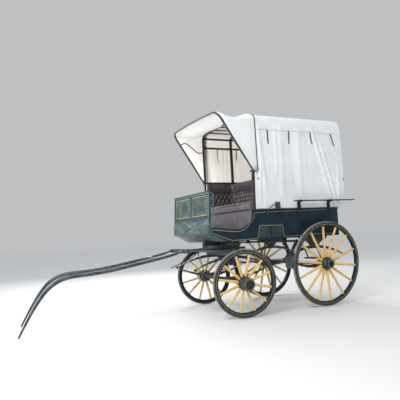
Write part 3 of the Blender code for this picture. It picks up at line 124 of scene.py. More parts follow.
FIRST_BOW_ALONG = 0.026
HOOP_GROWN = 0.0055
STAY_Y = 0.604
STAY = [(-0.232, HOOP_HALF - 0.010, 2.455), (-0.234, STAY_Y + 0.035, 2.450), (-0.205, STAY_Y, 2.464),
        (-0.165, STAY_Y, 2.466), (-0.100, STAY_Y, 2.428), (-0.020, STAY_Y, 2.365), (0.040, STAY_Y, 2.326),
        (0.095, STAY_Y, 2.330), (0.140, STAY_Y, 2.352)]
CLOTH = 0.002
CURTAIN_FOOT = 1.356
REAR_FOOT = 1.405
HOOD_BACK = 0.232
TILT_LIFT = 0.0035
EAVE_STEP = 0.006
ROOF_SAG = 0.0045
HOOD_SLACK = 0.125
HOOD_PUFF = 0.020
BUTTON_Z = 1.76
SHARP_EDGE = 38


# Materials

def linear(code):
    """Linear colour of an sRGB hex value."""
    values = [int(code[i:i + 2], 16) / 255 for i in (0, 2, 4)]
    return tuple(v / 12.92 if v <= 0.04045 else ((v + 0.055) / 1.055) ** 2.4 for v in values) + (1.0,)


def add_node(tree, kind, inputs=(), **settings):
    """Adds a node; inputs pairs a socket's name or number with a value or with the socket it reads."""
    node = tree.nodes.new(kind)
    for name, value in settings.items():
        setattr(node, name, value)
    for key, value in inputs:
        if isinstance(value, bpy.types.NodeSocket):
            tree.links.new(value, node.inputs[key])
        else:
            node.inputs[key].default_value = value
    return node


def finish(name, colour, roughness, **sockets):
    """A material with constant values on its shader; gives the material, its tree and its shader."""
    material = bpy.data.materials.new(name)
    material.use_nodes = True
    shader = material.node_tree.nodes["Principled BSDF"]
    shader.inputs["Base Color"].default_value = linear(colour)
    shader.inputs["Roughness"].default_value = roughness
    for key, value in sockets.items():
        shader.inputs[key.replace("_", " ")].default_value = value
    return material, material.node_tree, shader


def place_of(tree, stretch=(1, 1, 1)):
    """Object coordinates, stretched."""
    where = add_node(tree, "ShaderNodeTexCoord").outputs["Object"]
    return add_node(tree, "ShaderNodeMapping", [("Vector", where), ("Scale", stretch)]).outputs[0]


def patches(tree, size, low, high, detail=4.0, stretch=(1, 1, 1)):
    """A soft mask from 0 to 1 with patches of about size metres, smaller along a stretched axis."""
    cloud = add_node(tree, "ShaderNodeTexNoise", [("Vector", place_of(tree, stretch)), ("Scale", 1 / size),
                                                  ("Detail", detail)])
    return add_node(tree, "ShaderNodeMapRange", [("Value", cloud.outputs["Fac"]), ("From Min", low),
                                                 ("From Max", high)]).outputs[0]


def blended(tree, mask, first, second):
    """Colour that goes from first to second with the mask."""
    mix = add_node(tree, "ShaderNodeMix", [(0, mask)], data_type="RGBA")
    for socket, value in ((mix.inputs[6], first), (mix.inputs[7], second)):
        if isinstance(value, bpy.types.NodeSocket):
            tree.links.new(value, socket)
        else:
            socket.default_value = linear(value)
    return mix.outputs[2]


def between(tree, mask, low, high):
    """The mask's values taken to the range from low to high."""
    return add_node(tree, "ShaderNodeMapRange", [("Value", mask), ("To Min", low),
                                                 ("To Max", high)]).outputs[0]


def raised(tree, height, depth, after=None):
    """Bump of depth metres on the shader; after is the bump it goes on top of."""
    inputs = [("Height", height), ("Distance", depth), ("Strength", 1.0)]
    if after is not None:
        inputs.append(("Normal", after))
    bump = add_node(tree, "ShaderNodeBump", inputs).outputs[0]
    tree.links.new(bump, tree.nodes["Principled BSDF"].inputs["Normal"])
    return bump


def coat(name, plain, roughness, ground, over=(), rough=None, relief=None, **sockets):
    """A finish marked by use, its masks written as patches takes them.

    ground is (mask, first colour, second colour) and over holds (mask, share, colour) laid on it in turn.
    rough is the roughness at the ground mask's 0 and at its 1, and relief is (mask, depth).
    """
    material, tree, shader = finish(name, plain, roughness, **sockets)
    mask, first, second = ground
    spread = patches(tree, *mask)
    colour = blended(tree, spread, first, second)
    for mask, share, tint in over:
        colour = blended(tree, between(tree, patches(tree, *mask), 0.0, share), colour, tint)
    tree.links.new(colour, shader.inputs["Base Color"])
    if rough:
        tree.links.new(between(tree, spread, *rough), shader.inputs["Roughness"])
    if relief:
        raised(tree, patches(tree, *relief[0]), relief[1])
    return material


def forged_iron(name, plain, worn):
    """Forged iron under black paint: uneven, satin, greyer where it is worn; the paler copy on the naves' cap
    rims is a painted highlight.
    """
    return coat(name, plain, 0.5, ((0.05, 0.5, 0.7, 7.0), plain, worn), rough=(0.38, 0.62),
                relief=((0.014, 0.3, 0.7, 3.0), 0.0005), Metallic=0.1)


def line_paint(name, pale, dull):
    """Pale enamel, a little broken: hand-drawn lining, and the painted highlight on the dash's reeds."""
    return coat(name, pale, 0.45, ((0.06, 0.42, 0.68, 5.0), pale, dull))


def stained_wood(name, pale, dark, roughness):
    """Stained ash: long grain along the piece, low sheen."""
    grain = (0.008, 0.35, 0.7, 6.0, (0.12, 1, 1))
    return coat(name, pale, roughness, (grain, pale, dark), relief=(grain, 0.0004))


def hide(name, base, worn, deep, roughness):
    """Coach leather: pebbled grain about 3 mm, drawn at 8 mm, rubbed paler where people sit; on the cushions
    and the buttoned back the paler patches are also painted highlight.
    """
    cracks = (0.03, 0.56, 0.7, 8.0, (1, 1, 2.5))
    material = coat(name, base, roughness, ((0.10, 0.42, 0.7, 7.0), base, worn), [(cracks, 0.5, deep)],
                    (roughness - 0.08, roughness + 0.12), Coat_Weight=0.12, Coat_Roughness=0.35)
    tree = material.node_tree
    pebble = add_node(tree, "ShaderNodeTexVoronoi", [("Vector", place_of(tree)), ("Scale", 1 / 0.008)])
    raised(tree, pebble.outputs["Distance"], 0.0008)
    return material


def cotton_canvas(name, pale, dull, stain_and_weave_shade, glow=1.0):
    """Cotton duck: matt plain weave.  Its threads are 0.6 mm apart; the weave is drawn at 5 mm to show."""
    material, tree, shader = finish(name, pale, 0.9, Specular_IOR_Level=0.2, Subsurface_Weight=glow,
                                    Subsurface_Scale=0.012, Subsurface_Radius=(1.0, 0.93, 0.82))
    pitch = 0.005
    thread = [("Vector", place_of(tree)), ("Scale", 0.5 / pitch), ("Distortion", 1.2), ("Detail", 2.0)]
    warp = add_node(tree, "ShaderNodeTexWave", thread, bands_direction="Z").outputs["Fac"]
    weft = add_node(tree, "ShaderNodeTexWave", thread, bands_direction="X").outputs["Fac"]
    weave = add_node(tree, "ShaderNodeMath", [(0, weft), (1, warp)], operation="MULTIPLY").outputs[0]
    colour = blended(tree, patches(tree, 0.30, 0.35, 0.7, 6.0), pale, dull)
    spots = patches(tree, 0.05, 0.58, 0.78, 7.0)
    # Stain spots, and a faint darkening between the threads that is painted shade in the weave.
    for mask in (between(tree, spots, 0.0, 0.35), between(tree, weave, 0.06, 0.0)):
        colour = blended(tree, mask, colour, stain_and_weave_shade)
    tree.links.new(colour, shader.inputs["Base Color"])
    crumple = raised(tree, patches(tree, 0.06, 0.2, 0.8, 5.0), 0.004)
    raised(tree, weave, 0.0006, crumple)
    return material


# Masks: patch size, values that become 0 and 1, detail and stretch
BRUSHING = (0.012, 0.35, 0.7, 6.0, (0.25, 1, 1))
BOOT_SCUFFS = (0.05, 0.42, 0.7, 8.0, (0.6, 1, 1.5))
SCUFFS = (0.045, 0.55, 0.72, 9.0, (1, 0.35, 1.6))
STAINS = (0.13, 0.56, 0.74, 6.0, (1, 1, 0.7))
BLOOM = (0.11, 0.5, 0.68, 8.0, (1, 0.8, 1.3))
ROAD_DUST_AND_HIGHLIGHT = (0.09, 0.45, 0.72, 7.0)

# Brushed coach enamel over wood: deep blue-green, glossy, a little dusty and mottled
ENAMEL = coat("coach_enamel", "0e1c25", 0.45, ((0.16, 0.45, 0.75), "0e2430", "193340"),
              [(BRUSHING, 0.35, "0b171e")], (0.34, 0.52), (BRUSHING, 0.0004), Specular_IOR_Level=0.2)
# Kick plates dulled to grey-green by boots and road dust
KICK = coat("scuffed_enamel", "2b3d42", 0.6, (BOOT_SCUFFS, "18272d", "2e3e43"))
DASH_FRAME = finish("dash_frame_enamel", "284448", 0.45)[0]
# Old dash enamel rubbed to its grey-green ground, with rusty stains and pale scuffs
WORN = coat("worn_enamel", "46585a", 0.55, ((0.22, 0.38, 0.68, 8.0), "33474b", "54686a"),
            [(STAINS, 0.5, "6b5a4c"), (SCUFFS, 0.7, "8a9896")], (0.42, 0.68), (SCUFFS, 0.0008))
# Dash panels: dark green enamel faded to greys, with a pinkish brown bloom
PANEL = coat("panel_enamel", "3c4d4c", 0.4, ((0.17, 0.4, 0.66, 7.0), "22403d", "53625f"),
             [(BLOOM, 0.62, "80695b")], (0.3, 0.55), Coat_Weight=0.2)
# Undercarriage enamel over ash: slate green-black, dulled by road dust; the pale patches are partly painted
# highlight
GEAR = coat("gear_paint", "222f36", 0.5, (ROAD_DUST_AND_HIGHLIGHT, "202d34", "4c5c61"), rough=(0.38, 0.68),
            relief=(ROAD_DUST_AND_HIGHLIGHT, 0.0004))
IRON = forged_iron("forged_iron", "272d31", "4d5558")
# Paler iron on the naves' cap rims: a painted highlight where the rim catches the light.
CAP_RIM_HIGHLIGHT_IRON = forged_iron("iron_cap_rim_painted_highlight", "4a5053", "737a7c")
# Polished steel gone slightly grey with handling
STEEL = coat("bright_steel", "9aa0a3", 0.32, ((0.03, 0.4, 0.7, 6.0), "a6acaf", "6d7274"),
             rough=(0.25, 0.5), Metallic=1.0)
# Golden yellow gloss paint on turned spokes, darker where hands and mud have rubbed it
YELLOW = coat("spoke_paint", "dcb462", 0.45, ((0.07, 0.46, 0.72, 7.0), "dfbb70", "c6a058"),
              [((0.012, 0.62, 0.74), 0.6, "8a6a3c")], (0.38, 0.58))
LINE = line_paint("line_paint", "a59c5a", "ab9870")
CREAM_LINE = line_paint("cream_line_paint", "c8c6a4", "a9b09a")
# Pale blue-grey on the dash's reeds: a painted highlight along the raised beads, broken in patches.
REED_HIGHLIGHT = line_paint("reed_painted_highlight", "8aa3a9", "5f777c")
# Solid rubber tyre: brownish grey flanks, and a running surface worn pale and dusty
RUBBER = coat("solid_rubber", "5b5450", 0.8, ((0.05, 0.4, 0.7, 7.0), "4b4644", "6c6460"),
              relief=((0.006, 0.3, 0.7), 0.0004))
TREAD = coat("worn_tread", "8d8681", 0.85, ((0.03, 0.35, 0.7, 7.0), "97908b", "6f6864"))
CANVAS_OUT = cotton_canvas("white_duck", "f2f4f4", "e8ecec", "d4d9da", 0.4)
# Inner faces of the tilt and rear curtain: the same duck painted darker, a painted shade for the inside of
# the tilt.
CANVAS_PAINTED_SHADE = cotton_canvas("duck_painted_shade", "eae8e4", "e2dfda", "d2cdc5")
# The hood's inner face: the same duck painted cream and brighter, a painted glow of light shining through the
# cloth.
CANVAS_PAINTED_GLOW = cotton_canvas("duck_painted_glow", "f8f5f0", "f0ece5", "dfd7cc")
# Cushion leather: its paler patches are partly rubbed wear and partly painted highlight.
LEATHER = hide("hide_wear_and_painted_highlight", "736d74", "8d8790", "4f4950", 0.46)
END_LEATHER = hide("reddish_hide", "755f60", "8c7676", "4f4041", 0.5)
BAND_LEATHER = hide("dark_band_hide", "3f3b40", "565157", "2a272b", 0.5)
# Buttoned leather: its paler brown patches are partly wear and partly painted highlight on the tufts.
DARK_LEATHER = hide("buttoned_hide", "39353b", "5a5354", "221f24", 0.4)
STRAP_LEATHER = hide("strap_hide", "4e3330", "63443f", "33211f", 0.55)
# Pale grey strip along the hood hoop's front: a painted highlight on the leather binding.
HOOP_HIGHLIGHT = hide("pale_strip_painted_highlight", "8a8a8c", "a3a3a4", "6a696b", 0.7)
BINDING = hide("edge_webbing", "322d2f", "454043", "221e20", 0.7)
BOW_WOOD = stained_wood("bow_ash", "332d2f", "221d1f", 0.5)
BOARDS = stained_wood("floor_ash", "4d453b", "352f28", 0.7)


# Making pieces

def placed(name, data):
    """Puts a data block into the scene as an object."""
    thing = bpy.data.objects.new(name, data)
    bpy.context.scene.collection.objects.link(thing)
    return thing


def finished(name, shape, materials, body, replaces=(), smooth=35, slot=None):
    """Makes a bmesh into a piece that rides on a body."""
    mesh = bpy.data.meshes.new(name)
    shape.to_mesh(mesh)
    shape.free()
    piece = placed(name, mesh)
    for material in materials:
        mesh.materials.append(material)
    mesh.shade_smooth()
    mesh.set_sharp_from_angle(angle=radians(smooth))
    if body is not None:
        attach(piece, body)
    if replaces:
        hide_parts(*replaces)
    return piece


def made(name, shape, *details):
    """A finished piece whose faces are turned outward first."""
    bmesh.ops.recalc_face_normals(shape, faces=shape.faces)
    return finished(name, shape, *details)


def second_finish(piece, test):
    """Gives a piece's second material to the faces that pass the test."""
    for face in piece.data.polygons:
        if test(face):
            face.material_index = 1


def ease_edges(shape, edges, width, sharper=0):
    """Rounds over those edges that are sharper than an angle in degrees."""
    sharp = [e for e in edges if len(e.link_faces) == 2 and e.calc_face_angle(0) > radians(sharper)]
    bmesh.ops.bevel(shape, geom=sharp, offset=width, offset_type="OFFSET", segments=2, profile=0.5,
                    affect="EDGES", material=-1, clamp_overlap=True)


def eased(node, material, width, slot, extra=()):
    """A copy of a solid with its edges eased, in its real finish."""
    source = nodes[node]
    shape = bmesh.new()
    shape.from_mesh(source.data)
    bmesh.ops.remove_doubles(shape, verts=shape.verts, dist=0.00005)
    bmesh.ops.dissolve_limit(shape, angle_limit=radians(0.5), verts=shape.verts, edges=shape.edges)
    ease_edges(shape, shape.edges, width, SHARP_EDGE)
    return finished(node + "_finished", shape, [material, *extra], source["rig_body"], [node], 35, slot)


def axes_at(place, *axes):
    """Matrix that has its axes along three vectors and stands at a place."""
    matrix = Matrix([[axis[i] for axis in axes] for i in range(3)]).to_4x4()
    matrix.translation = place
    return matrix


def ring_at(centre, across, upward, half_width, half_height):
    """Matrix that puts a unit circle at centre with those half sizes."""
    return axes_at(centre, across * half_width, upward * half_height, across.cross(upward))


def heading_at(points, i):
    """Direction of a path at one of its points."""
    return (points[min(i + 1, len(points) - 1)] - points[max(i - 1, 0)]).normalized()


def drawn_bar(shape, rings, sides=12, closed=False):
    """Draws a ring through a row of places; the ends are capped unless it closes on itself."""
    start = bmesh.ops.create_circle(shape, cap_ends=False, segments=sides, radius=1.0, matrix=rings[0])
    first = list({e for v in start["verts"] for e in v.link_edges})
    edges, last = first, rings[0]
    for ring in rings[1:]:
        grown = bmesh.ops.extrude_edge_only(shape, edges=edges)["geom"]
        verts = [g for g in grown if isinstance(g, bmesh.types.BMVert)]
        edges = [g for g in grown if isinstance(g, bmesh.types.BMEdge) and all(v in verts for v in g.verts)]
        bmesh.ops.transform(shape, matrix=ring @ last.inverted(), verts=verts)
        last = ring
    if closed:
        bmesh.ops.bridge_loops(shape, edges=first + edges)
    else:
        bmesh.ops.edgeloop_fill(shape, edges=first)
        bmesh.ops.edgeloop_fill(shape, edges=edges)


def along_path(points, radius):
    """Rings of one radius that follow a path and stay upright."""
    rings = []
    for i, point in enumerate(points):
        heading = heading_at(points, i)
        across = heading.cross(UP)
        if across.length < 0.05:
            across = heading.cross(Vector((0, 1, 0)))
        across.normalize()
        rings.append(ring_at(point, across, across.cross(heading), radius, radius))
    return rings


def along_arch(points, half_along, half_deep):
    """Rings that follow an arch across the carriage, one axis kept lengthwise."""
    along = Vector((1, 0, 0))
    return [ring_at(point, along, heading_at(points, i).cross(along), half_along, half_deep)
            for i, point in enumerate(points)]


def bar_piece(name, rings, sides, material, body, slot):
    """A piece that is one ring drawn through a row of places."""
    shape = bmesh.new()
    drawn_bar(shape, rings, sides)
    made(name, shape, [material], body, (), 40, slot)


def square_bar(shape, rings, ease):
    """A bar of square section drawn through places, with its long edges eased."""
    corner = Matrix.Rotation(pi / 4, 4, "Z") @ Matrix.Scale(sqrt(2), 4)
    known = set(shape.faces)
    drawn_bar(shape, [ring @ corner for ring in rings], 4)
    ease_edges(shape, {e for face in shape.faces if face not in known for e in face.edges}, ease, 60)


def turned(shape, profile, steps, place=Matrix.Identity(4), closed=False):
    """Spins a profile of (radius, height) about Z, then puts it in its place."""
    known = set(shape.verts)
    verts = [shape.verts.new((r, 0, z)) for r, z in profile]
    pairs = list(zip(verts, verts[1:]))
    if closed:
        pairs.append((verts[-1], verts[0]))
    edges = [shape.edges.new(pair) for pair in pairs]
    bmesh.ops.spin(shape, geom=verts + edges, cent=(0, 0, 0), axis=(0, 0, 1), angle=2 * pi, steps=steps,
                   use_merge=True)
    bmesh.ops.transform(shape, matrix=place, verts=[v for v in shape.verts if v not in known])


def box_shape(shape, low, high, ease):
    """A box between two corners with eased edges."""
    place = Matrix.Translation((low + high) / 2) @ Matrix.Diagonal((*(high - low), 1))
    corners = bmesh.ops.create_cube(shape, size=1.0, matrix=place)["verts"]
    ease_edges(shape, list({e for v in corners for e in v.link_edges}), ease)


def stud(shape, place, radius, depth, segments=20, tip=None):
    """A short round bar along its own Z, tapered when a tip is given."""
    bmesh.ops.create_cone(shape, cap_ends=True, segments=segments, radius1=radius, radius2=tip or radius,
                          depth=depth, matrix=place)


def spline(points, parts=8):
    """Smooth path through the points."""
    points = [Vector(p) for p in points]
    ends = [2 * points[0] - points[1]] + points + [2 * points[-1] - points[-2]]
    path = []
    for a, b, c, d in zip(ends, ends[1:], ends[2:], ends[3:]):
        for k in range(parts):
            t = k / parts
            path.append(0.5 * ((2 * b) + (c - a) * t + (2 * a - 5 * b + 4 * c - d) * t * t
                               + (3 * b - a - 3 * c + d) * t ** 3))
    path.append(points[-1])
    return path


def at(x, y, z):
    """A point given from the front axle."""
    return Vector((x + AXLE_X, y, z))


def across_at(x, y, z):
    """Place from the front axle whose own Z points across the carriage."""
    return Matrix.Translation(at(x, y, z)) @ Matrix.Rotation(pi / 2, 4, "X")


def span(side, near, far):
    """Two distances from the middle as the low and the high y on one side."""
    return sorted((side * near, side * far))


# Wheels

# Radius, spokes, the nave's reach outward and the radius of its cap
FRONT_WHEEL = (0.43, 12, 0.165, 0.074)
REAR_WHEEL = (0.58, 14, 0.105, 0.060)

# Share of a spoke's length, half its width and half its thickness there
SPOKE_STATIONS = ((0.0, 0.0175, 0.021), (0.05, 0.0185, 0.021), (0.16, 0.0205, 0.0175),
                  (0.34, 0.0185, 0.0160), (0.62, 0.0165, 0.0150), (0.90, 0.0155, 0.0145),
                  (0.955, 0.0175, 0.0160), (1.0, 0.0175, 0.0160))


def hub_place(joint):
    """Hub's frame: Z out along the axle arm, X forward or back in the wheel's plane."""
    axis = Vector(joint["axis"]).normalized()
    level = axis.cross(UP) if axis.y > 0 else UP.cross(axis)
    level.normalize()
    return axes_at(Vector(joint["pos_m"]), level, axis.cross(level), axis)


def wheel(tag, turn, radius, count, nave_outer, cap_radius):
    """Dished wheel with lined felloes, a solid tyre and a banded nave."""
    place = hub_place(joints[tag + "_wheel_spin"])
    outer = radius - TYRE_DEPTH - 0.0003
    inner = outer - FELLOE_DEPTH
    half = FELLOE_WIDTH / 2

    def on_hub(name, shape, materials, solids, smooth, slot, second=None):
        """Fits a shape made about Z to the hub; second picks the faces in the second material."""
        for face in shape.faces:
            if second and second(face.calc_center_median()):
                face.material_index = 1
        bmesh.ops.transform(shape, matrix=place, verts=shape.verts)
        made(f"{tag}_{name}", shape, materials, tag + "_wheel", solids, smooth, slot)

    shape = bmesh.new()
    for k in range(count):
        angle = turn + 2 * pi * k / count
        side = Vector((cos(angle), sin(angle), 0))
        across = Vector((-sin(angle), cos(angle), 0))
        root = side * (NAVE_RADIUS + 0.0005) + Vector((0, 0, -DISH))
        tip = side * (inner + 0.004)
        upright = (tip - root).normalized().cross(across)
        rings = [ring_at(root.lerp(tip, share), across, upright, w, h) for share, w, h in SPOKE_STATIONS]
        drawn_bar(shape, rings, 14)
    on_hub("spoke_set", shape, [YELLOW], [tag + "_spokes"], 40, "yellow_spoke_paint")

    shape = bmesh.new()
    line_in, line_out = outer - 0.0205, outer - 0.0162
    ease = 0.006
    profile = [(outer, half), (outer, -half), (inner + ease, -half), (inner, -half + ease),
               (inner, half - ease), (inner + ease, half), (line_in, half), (line_in, half + 0.0006),
               (line_out, half + 0.0006), (line_out, half)]
    turned(shape, profile, 120, closed=True)
    on_hub("felloes", shape, [ENAMEL, LINE], (), 30, "yellow_spoke_paint",
           lambda spot: spot.z > half + 0.0002)

    shape = bmesh.new()
    tread = TYRE_WIDTH / 2
    low = outer + 0.0003
    profile = [(low, tread), (low, -tread), (radius - 0.010, -tread), (radius - 0.003, -tread + 0.005),
               (radius - 0.0005, -tread * 0.45), (radius, 0), (radius - 0.0005, tread * 0.45),
               (radius - 0.003, tread - 0.005), (radius - 0.010, tread)]
    turned(shape, profile, 120, closed=True)
    on_hub("solid_tyre", shape, [RUBBER, TREAD], [tag + "_tyre"], 40, "grey_rubber",
           lambda spot: spot.xy.length > radius - 0.0035)

    shape = bmesh.new()
    lip, recess, wall, barrel = 0.020, 0.030, 0.022, 0.030
    band = 0.004
    mid = barrel + (nave_outer - barrel) * 0.45
    floor = nave_outer - recess
    profile = [
        (0, floor + 0.006), (0.012, floor + 0.006), (0.016, floor), (cap_radius - lip, floor),
        (cap_radius - lip, nave_outer - 0.003), (cap_radius - lip + 0.003, nave_outer),
        (cap_radius - 0.003, nave_outer), (cap_radius, nave_outer - 0.004), (cap_radius, nave_outer - 0.022),
        (cap_radius + 0.0045, nave_outer - 0.024), (cap_radius + 0.004, mid),
        (NAVE_RADIUS - 0.010, barrel + 0.014), (NAVE_RADIUS - 0.004, barrel + 0.012), (NAVE_RADIUS, barrel),
        (NAVE_RADIUS, -barrel), (NAVE_RADIUS - 0.012, -barrel - 0.015), (0.066 + band, -NAVE_INNER + 0.018),
        (0.066, -NAVE_INNER), (BORE_RADIUS, -NAVE_INNER), (BORE_RADIUS, floor - wall), (0, floor - wall)]
    turned(shape, profile, 56)
    bmesh.ops.remove_doubles(shape, verts=shape.verts, dist=0.00002)
    for k in range(8):
        angle = 2 * pi * k / 8
        bolt = Matrix.Translation((0.073 * cos(angle), 0.073 * sin(angle), barrel + 0.012))
        stud(shape, bolt, 0.006, 0.008, 6, 0.005)
    bmesh.ops.translate(shape, vec=(0, 0, -DISH), verts=shape.verts)
    # The outer rim of the cap is in the paler iron: a painted highlight.
    on_hub("nave_banded", shape, [IRON, CAP_RIM_HIGHLIGHT_IRON], [tag + "_nave"], 30, "black_iron",
           lambda spot: spot.z > nave_outer - 0.005 - DISH and spot.xy.length > cap_radius - lip)


wheel("front_left", 1.37, *FRONT_WHEEL)
wheel("front_right", -1.272, *FRONT_WHEEL)
wheel("rear_left", 1.68, *REAR_WHEEL)
wheel("rear_right", 0.0, *REAR_WHEEL)


# Carriage parts that keep their solids' shapes

PLAIN_PARTS = (
    (ENAMEL, 0.0016, "body_paint", ("rear_panel", "rear_door", "side_rail_left", "side_rail_right")),
    (GEAR, 0.0016, "undercarriage_paint", ("fore_frame", "splinter_bar", "upper_turntable", "rear_block_left",
                                           "rear_block_right", "brake_block_left", "brake_block_right")),
    (IRON, 0.0010, "black_iron", ("front_axle", "rear_axle", "front_spring_left", "front_spring_right",
                                  "rear_spring_left", "rear_spring_right", "brake_gear", "rear_step",
                                  "lamp_socket_left", "lamp_socket_right")),
    (BOARDS, 0.0015, "floor_boards", ("floor", "bench_left", "bench_right")),
    (WORN, 0.0015, "worn_dash_paint", ("toe_board",)),
    (LEATHER, 0.0020, "brown_leather", ("seat_box",)),
    (BOW_WOOD, 0.0020, "brown_leather", ("seat_back",)),
    (STEEL, 0.0004, "bright_steel", ("dash_rail_left", "dash_rail_right")),
    (GEAR, 0.0010, "undercarriage_paint", ("shafts",)),
)


def on_kick(x, z):
    """Whether a place on the body's side, x from the front axle, lies on its kick plate."""
    return KICK_FRONT < x < KICK_REAR and KICK_LOW < z < KICK_HIGH


def kicked(face):
    """Whether a face of a body side is the outside of its kick plate."""
    x, y, z = face.center
    return abs(face.normal.y) > 0.9 and abs(y) > BODY_HALF + KICK_PROUD - 0.0005 and on_kick(x - AXLE_X, z)


def on_dash_frame(face):
    """Whether a face of the dash is an edge or reveal of its frame."""
    return face.center.z > DASH_BOTTOM and abs(face.normal.x) < 0.999


for material, edge_width, slot, parts in PLAIN_PARTS:
    for node in parts:
        eased(node, material, edge_width, slot)
for _, tag in SIDES:
    second_finish(eased("body_side_" + tag, ENAMEL, 0.0016, "body_paint", (KICK,)), kicked)
second_finish(eased("dash", WORN, 0.0015, "worn_dash_paint", (DASH_FRAME,)), on_dash_frame)


# Lining on the body

def face_y(x):
    """How far out the body's side lies, x from the front axle."""
    return BODY_HALF - DRAW_IN * max(0.0, BEND_X - x)


# The side's painted lines as (x, z)
UPPER_LINE = [(-0.426, 1.118), (-0.27, 1.097), (-0.168, 1.083), (-0.101, 1.077), (-0.045, 1.086),
              (0.004, 1.108), (0.045, 1.138), (0.081, 1.178), (0.107, 1.216), (0.124, 1.246),
              (0.136, 1.279), (0.142, 1.300), (0.160, 1.309), (0.24, 1.313), (0.424, 1.318),
              (0.889, 1.323), (1.417, 1.327)]
LOWER_LINE = [(-0.426, 1.118), (-0.426, 1.076), (-0.30, 1.022), (-0.17, 0.968), (0.02, 0.971), (0.177, 0.976),
              (0.194, 1.060), (0.211, 1.137), (0.227, 1.143), (0.58, 1.136), (0.590, 1.060), (0.600, 0.981),
              (0.866, 0.984), (1.135, 0.988), (1.467, 0.989)]
LINE_HALF = 0.0024
LINE_PROUD = 0.0007


def build_body_lining():
    """Flat painted lines laid on the body's left and right sides, over its straps and kick plates."""
    for side, tag in SIDES:
        shape = bmesh.new()
        out = Vector((0, side, 0))
        for path in (UPPER_LINE, LOWER_LINE):
            fine = []
            for a, b in zip(path, path[1:]):
                count = max(2, int((Vector(b) - Vector(a)).length / 0.012))
                fine += [Vector(a).lerp(Vector(b), i / count) for i in range(count)]
            points = []
            for x, z in (*fine, path[-1]):
                on_strap = any(abs(x - strap) < STRAP_WIDTH / 2 + 0.004 for strap in STRAP_XS)
                step = STRAP_PROUD if on_strap else KICK_PROUD if on_kick(x, z) else 0.0
                points.append(at(x, side * (face_y(x) + LINE_PROUD / 2 + step), z))
            rings = []
            for i, point in enumerate(points):
                heading = heading_at(points, i)
                level = Vector((heading.x, 0, heading.z)).normalized()
                rings.append(ring_at(point, out, out.cross(level), LINE_PROUD, LINE_HALF))
            drawn_bar(shape, rings, 4)
        made(f"body_lining_{tag}", shape, [LINE], "carriage", (), 60, "body_paint")


build_body_lining()


# Tilt frame, hood and canvas

def arch(half, foot, top, corner, crown, steps=14):
    """Smooth points of a bow from its left foot over the crowned top to its right foot."""
    right = [(half, foot + (top - crown - corner - foot) * i / 10) for i in range(10)]
    right += [(half - corner + corner * cos(t), top - crown - corner + corner * sin(t))
              for t in [pi / 2 * i / steps for i in range(steps)]]
    flat = half - corner
    right += [(flat * f, top - crown * f * f) for f in [1 - i / 12 for i in range(12)]]
    left = [(-y, z) for y, z in right]
    return left + [(0.0, top)] + right[::-1]


def build_tilt_frame():
    """Bows on the body's rail and the end bow on the lowest side rail, joined by rails and laths."""
    shape = bmesh.new()
    half = BOW_WIDTH / 2
    for x in (*BOW_XS, END_BOW_X):
        first = x == BOW_XS[0]
        foot = BODY_TOP + 0.0005 if x != END_BOW_X else RAIL_ZS[0] - RAIL_HEIGHT / 2
        deep = FIRST_BOW_DEEP / 2 if first else half
        line = arch(TILT_HALF - deep, foot, BOW_TOP - deep, BOW_CORNER - deep, BOW_CROWN)
        points = [at(x, y, z) for y, z in line]
        square_bar(shape, along_arch(points, FIRST_BOW_ALONG / 2 if first else half, deep), 0.004)
    front, rear = BOW_XS[0] - FIRST_BOW_ALONG / 2 + 0.002, END_BOW_X + half - 0.002
    rail_face, post_face = TILT_HALF - BOW_WIDTH, TILT_HALF - FIRST_BOW_DEEP
    for side, _ in SIDES:
        for z in RAIL_ZS:
            under, over = z - RAIL_HEIGHT / 2, z + RAIL_HEIGHT / 2
            low, high = span(side, rail_face - RAIL_THICK, rail_face + 0.001)
            box_shape(shape, at(front, low, under), at(rear, high, over), 0.003)
            low, high = span(side, rail_face, post_face + 0.001)
            box_shape(shape, at(front, low, under), at(front + FIRST_BOW_ALONG, high, over), 0.002)
        low, high = span(side, TILT_HALF - 0.004, HOOP_HALF + 0.004)
        stud(shape, across_at(BOW_XS[0], (low + high) / 2, PIVOT_Z), 0.0065, high - low)
    for y in sorted({side * y for y in LATH_YS for side, _ in SIDES}):
        edge = (abs(y) + LATH_WIDTH / 2) / (TILT_HALF - BOW_CORNER)
        top = BOW_TOP - BOW_CROWN * edge * edge + LATH_THICK - 0.003
        low, high = y - LATH_WIDTH / 2, y + LATH_WIDTH / 2
        box_shape(shape, at(front, low, top - LATH_THICK), at(rear, high, top), 0.002)
    made("bows_and_rails", shape, [BOW_WOOD], "carriage", ["tilt_frame"], 35, "dark_bow_wood")


build_tilt_frame()

HOOD_LEAN = atan2(HOOD_X - BOW_XS[0], HOOD_Z - PIVOT_Z)
HOOD_REACH = sqrt((HOOD_X - BOW_XS[0]) ** 2 + (HOOD_Z - PIVOT_Z) ** 2)
HOOD_TURN = Matrix.Rotation(HOOD_LEAN, 4, "Y")


def hood_point(y, height, off=0.0):
    """Point in the hoop's leaning plane."""
    return HOOD_TURN @ Vector((off, y, height)) + at(BOW_XS[0], 0, PIVOT_Z)


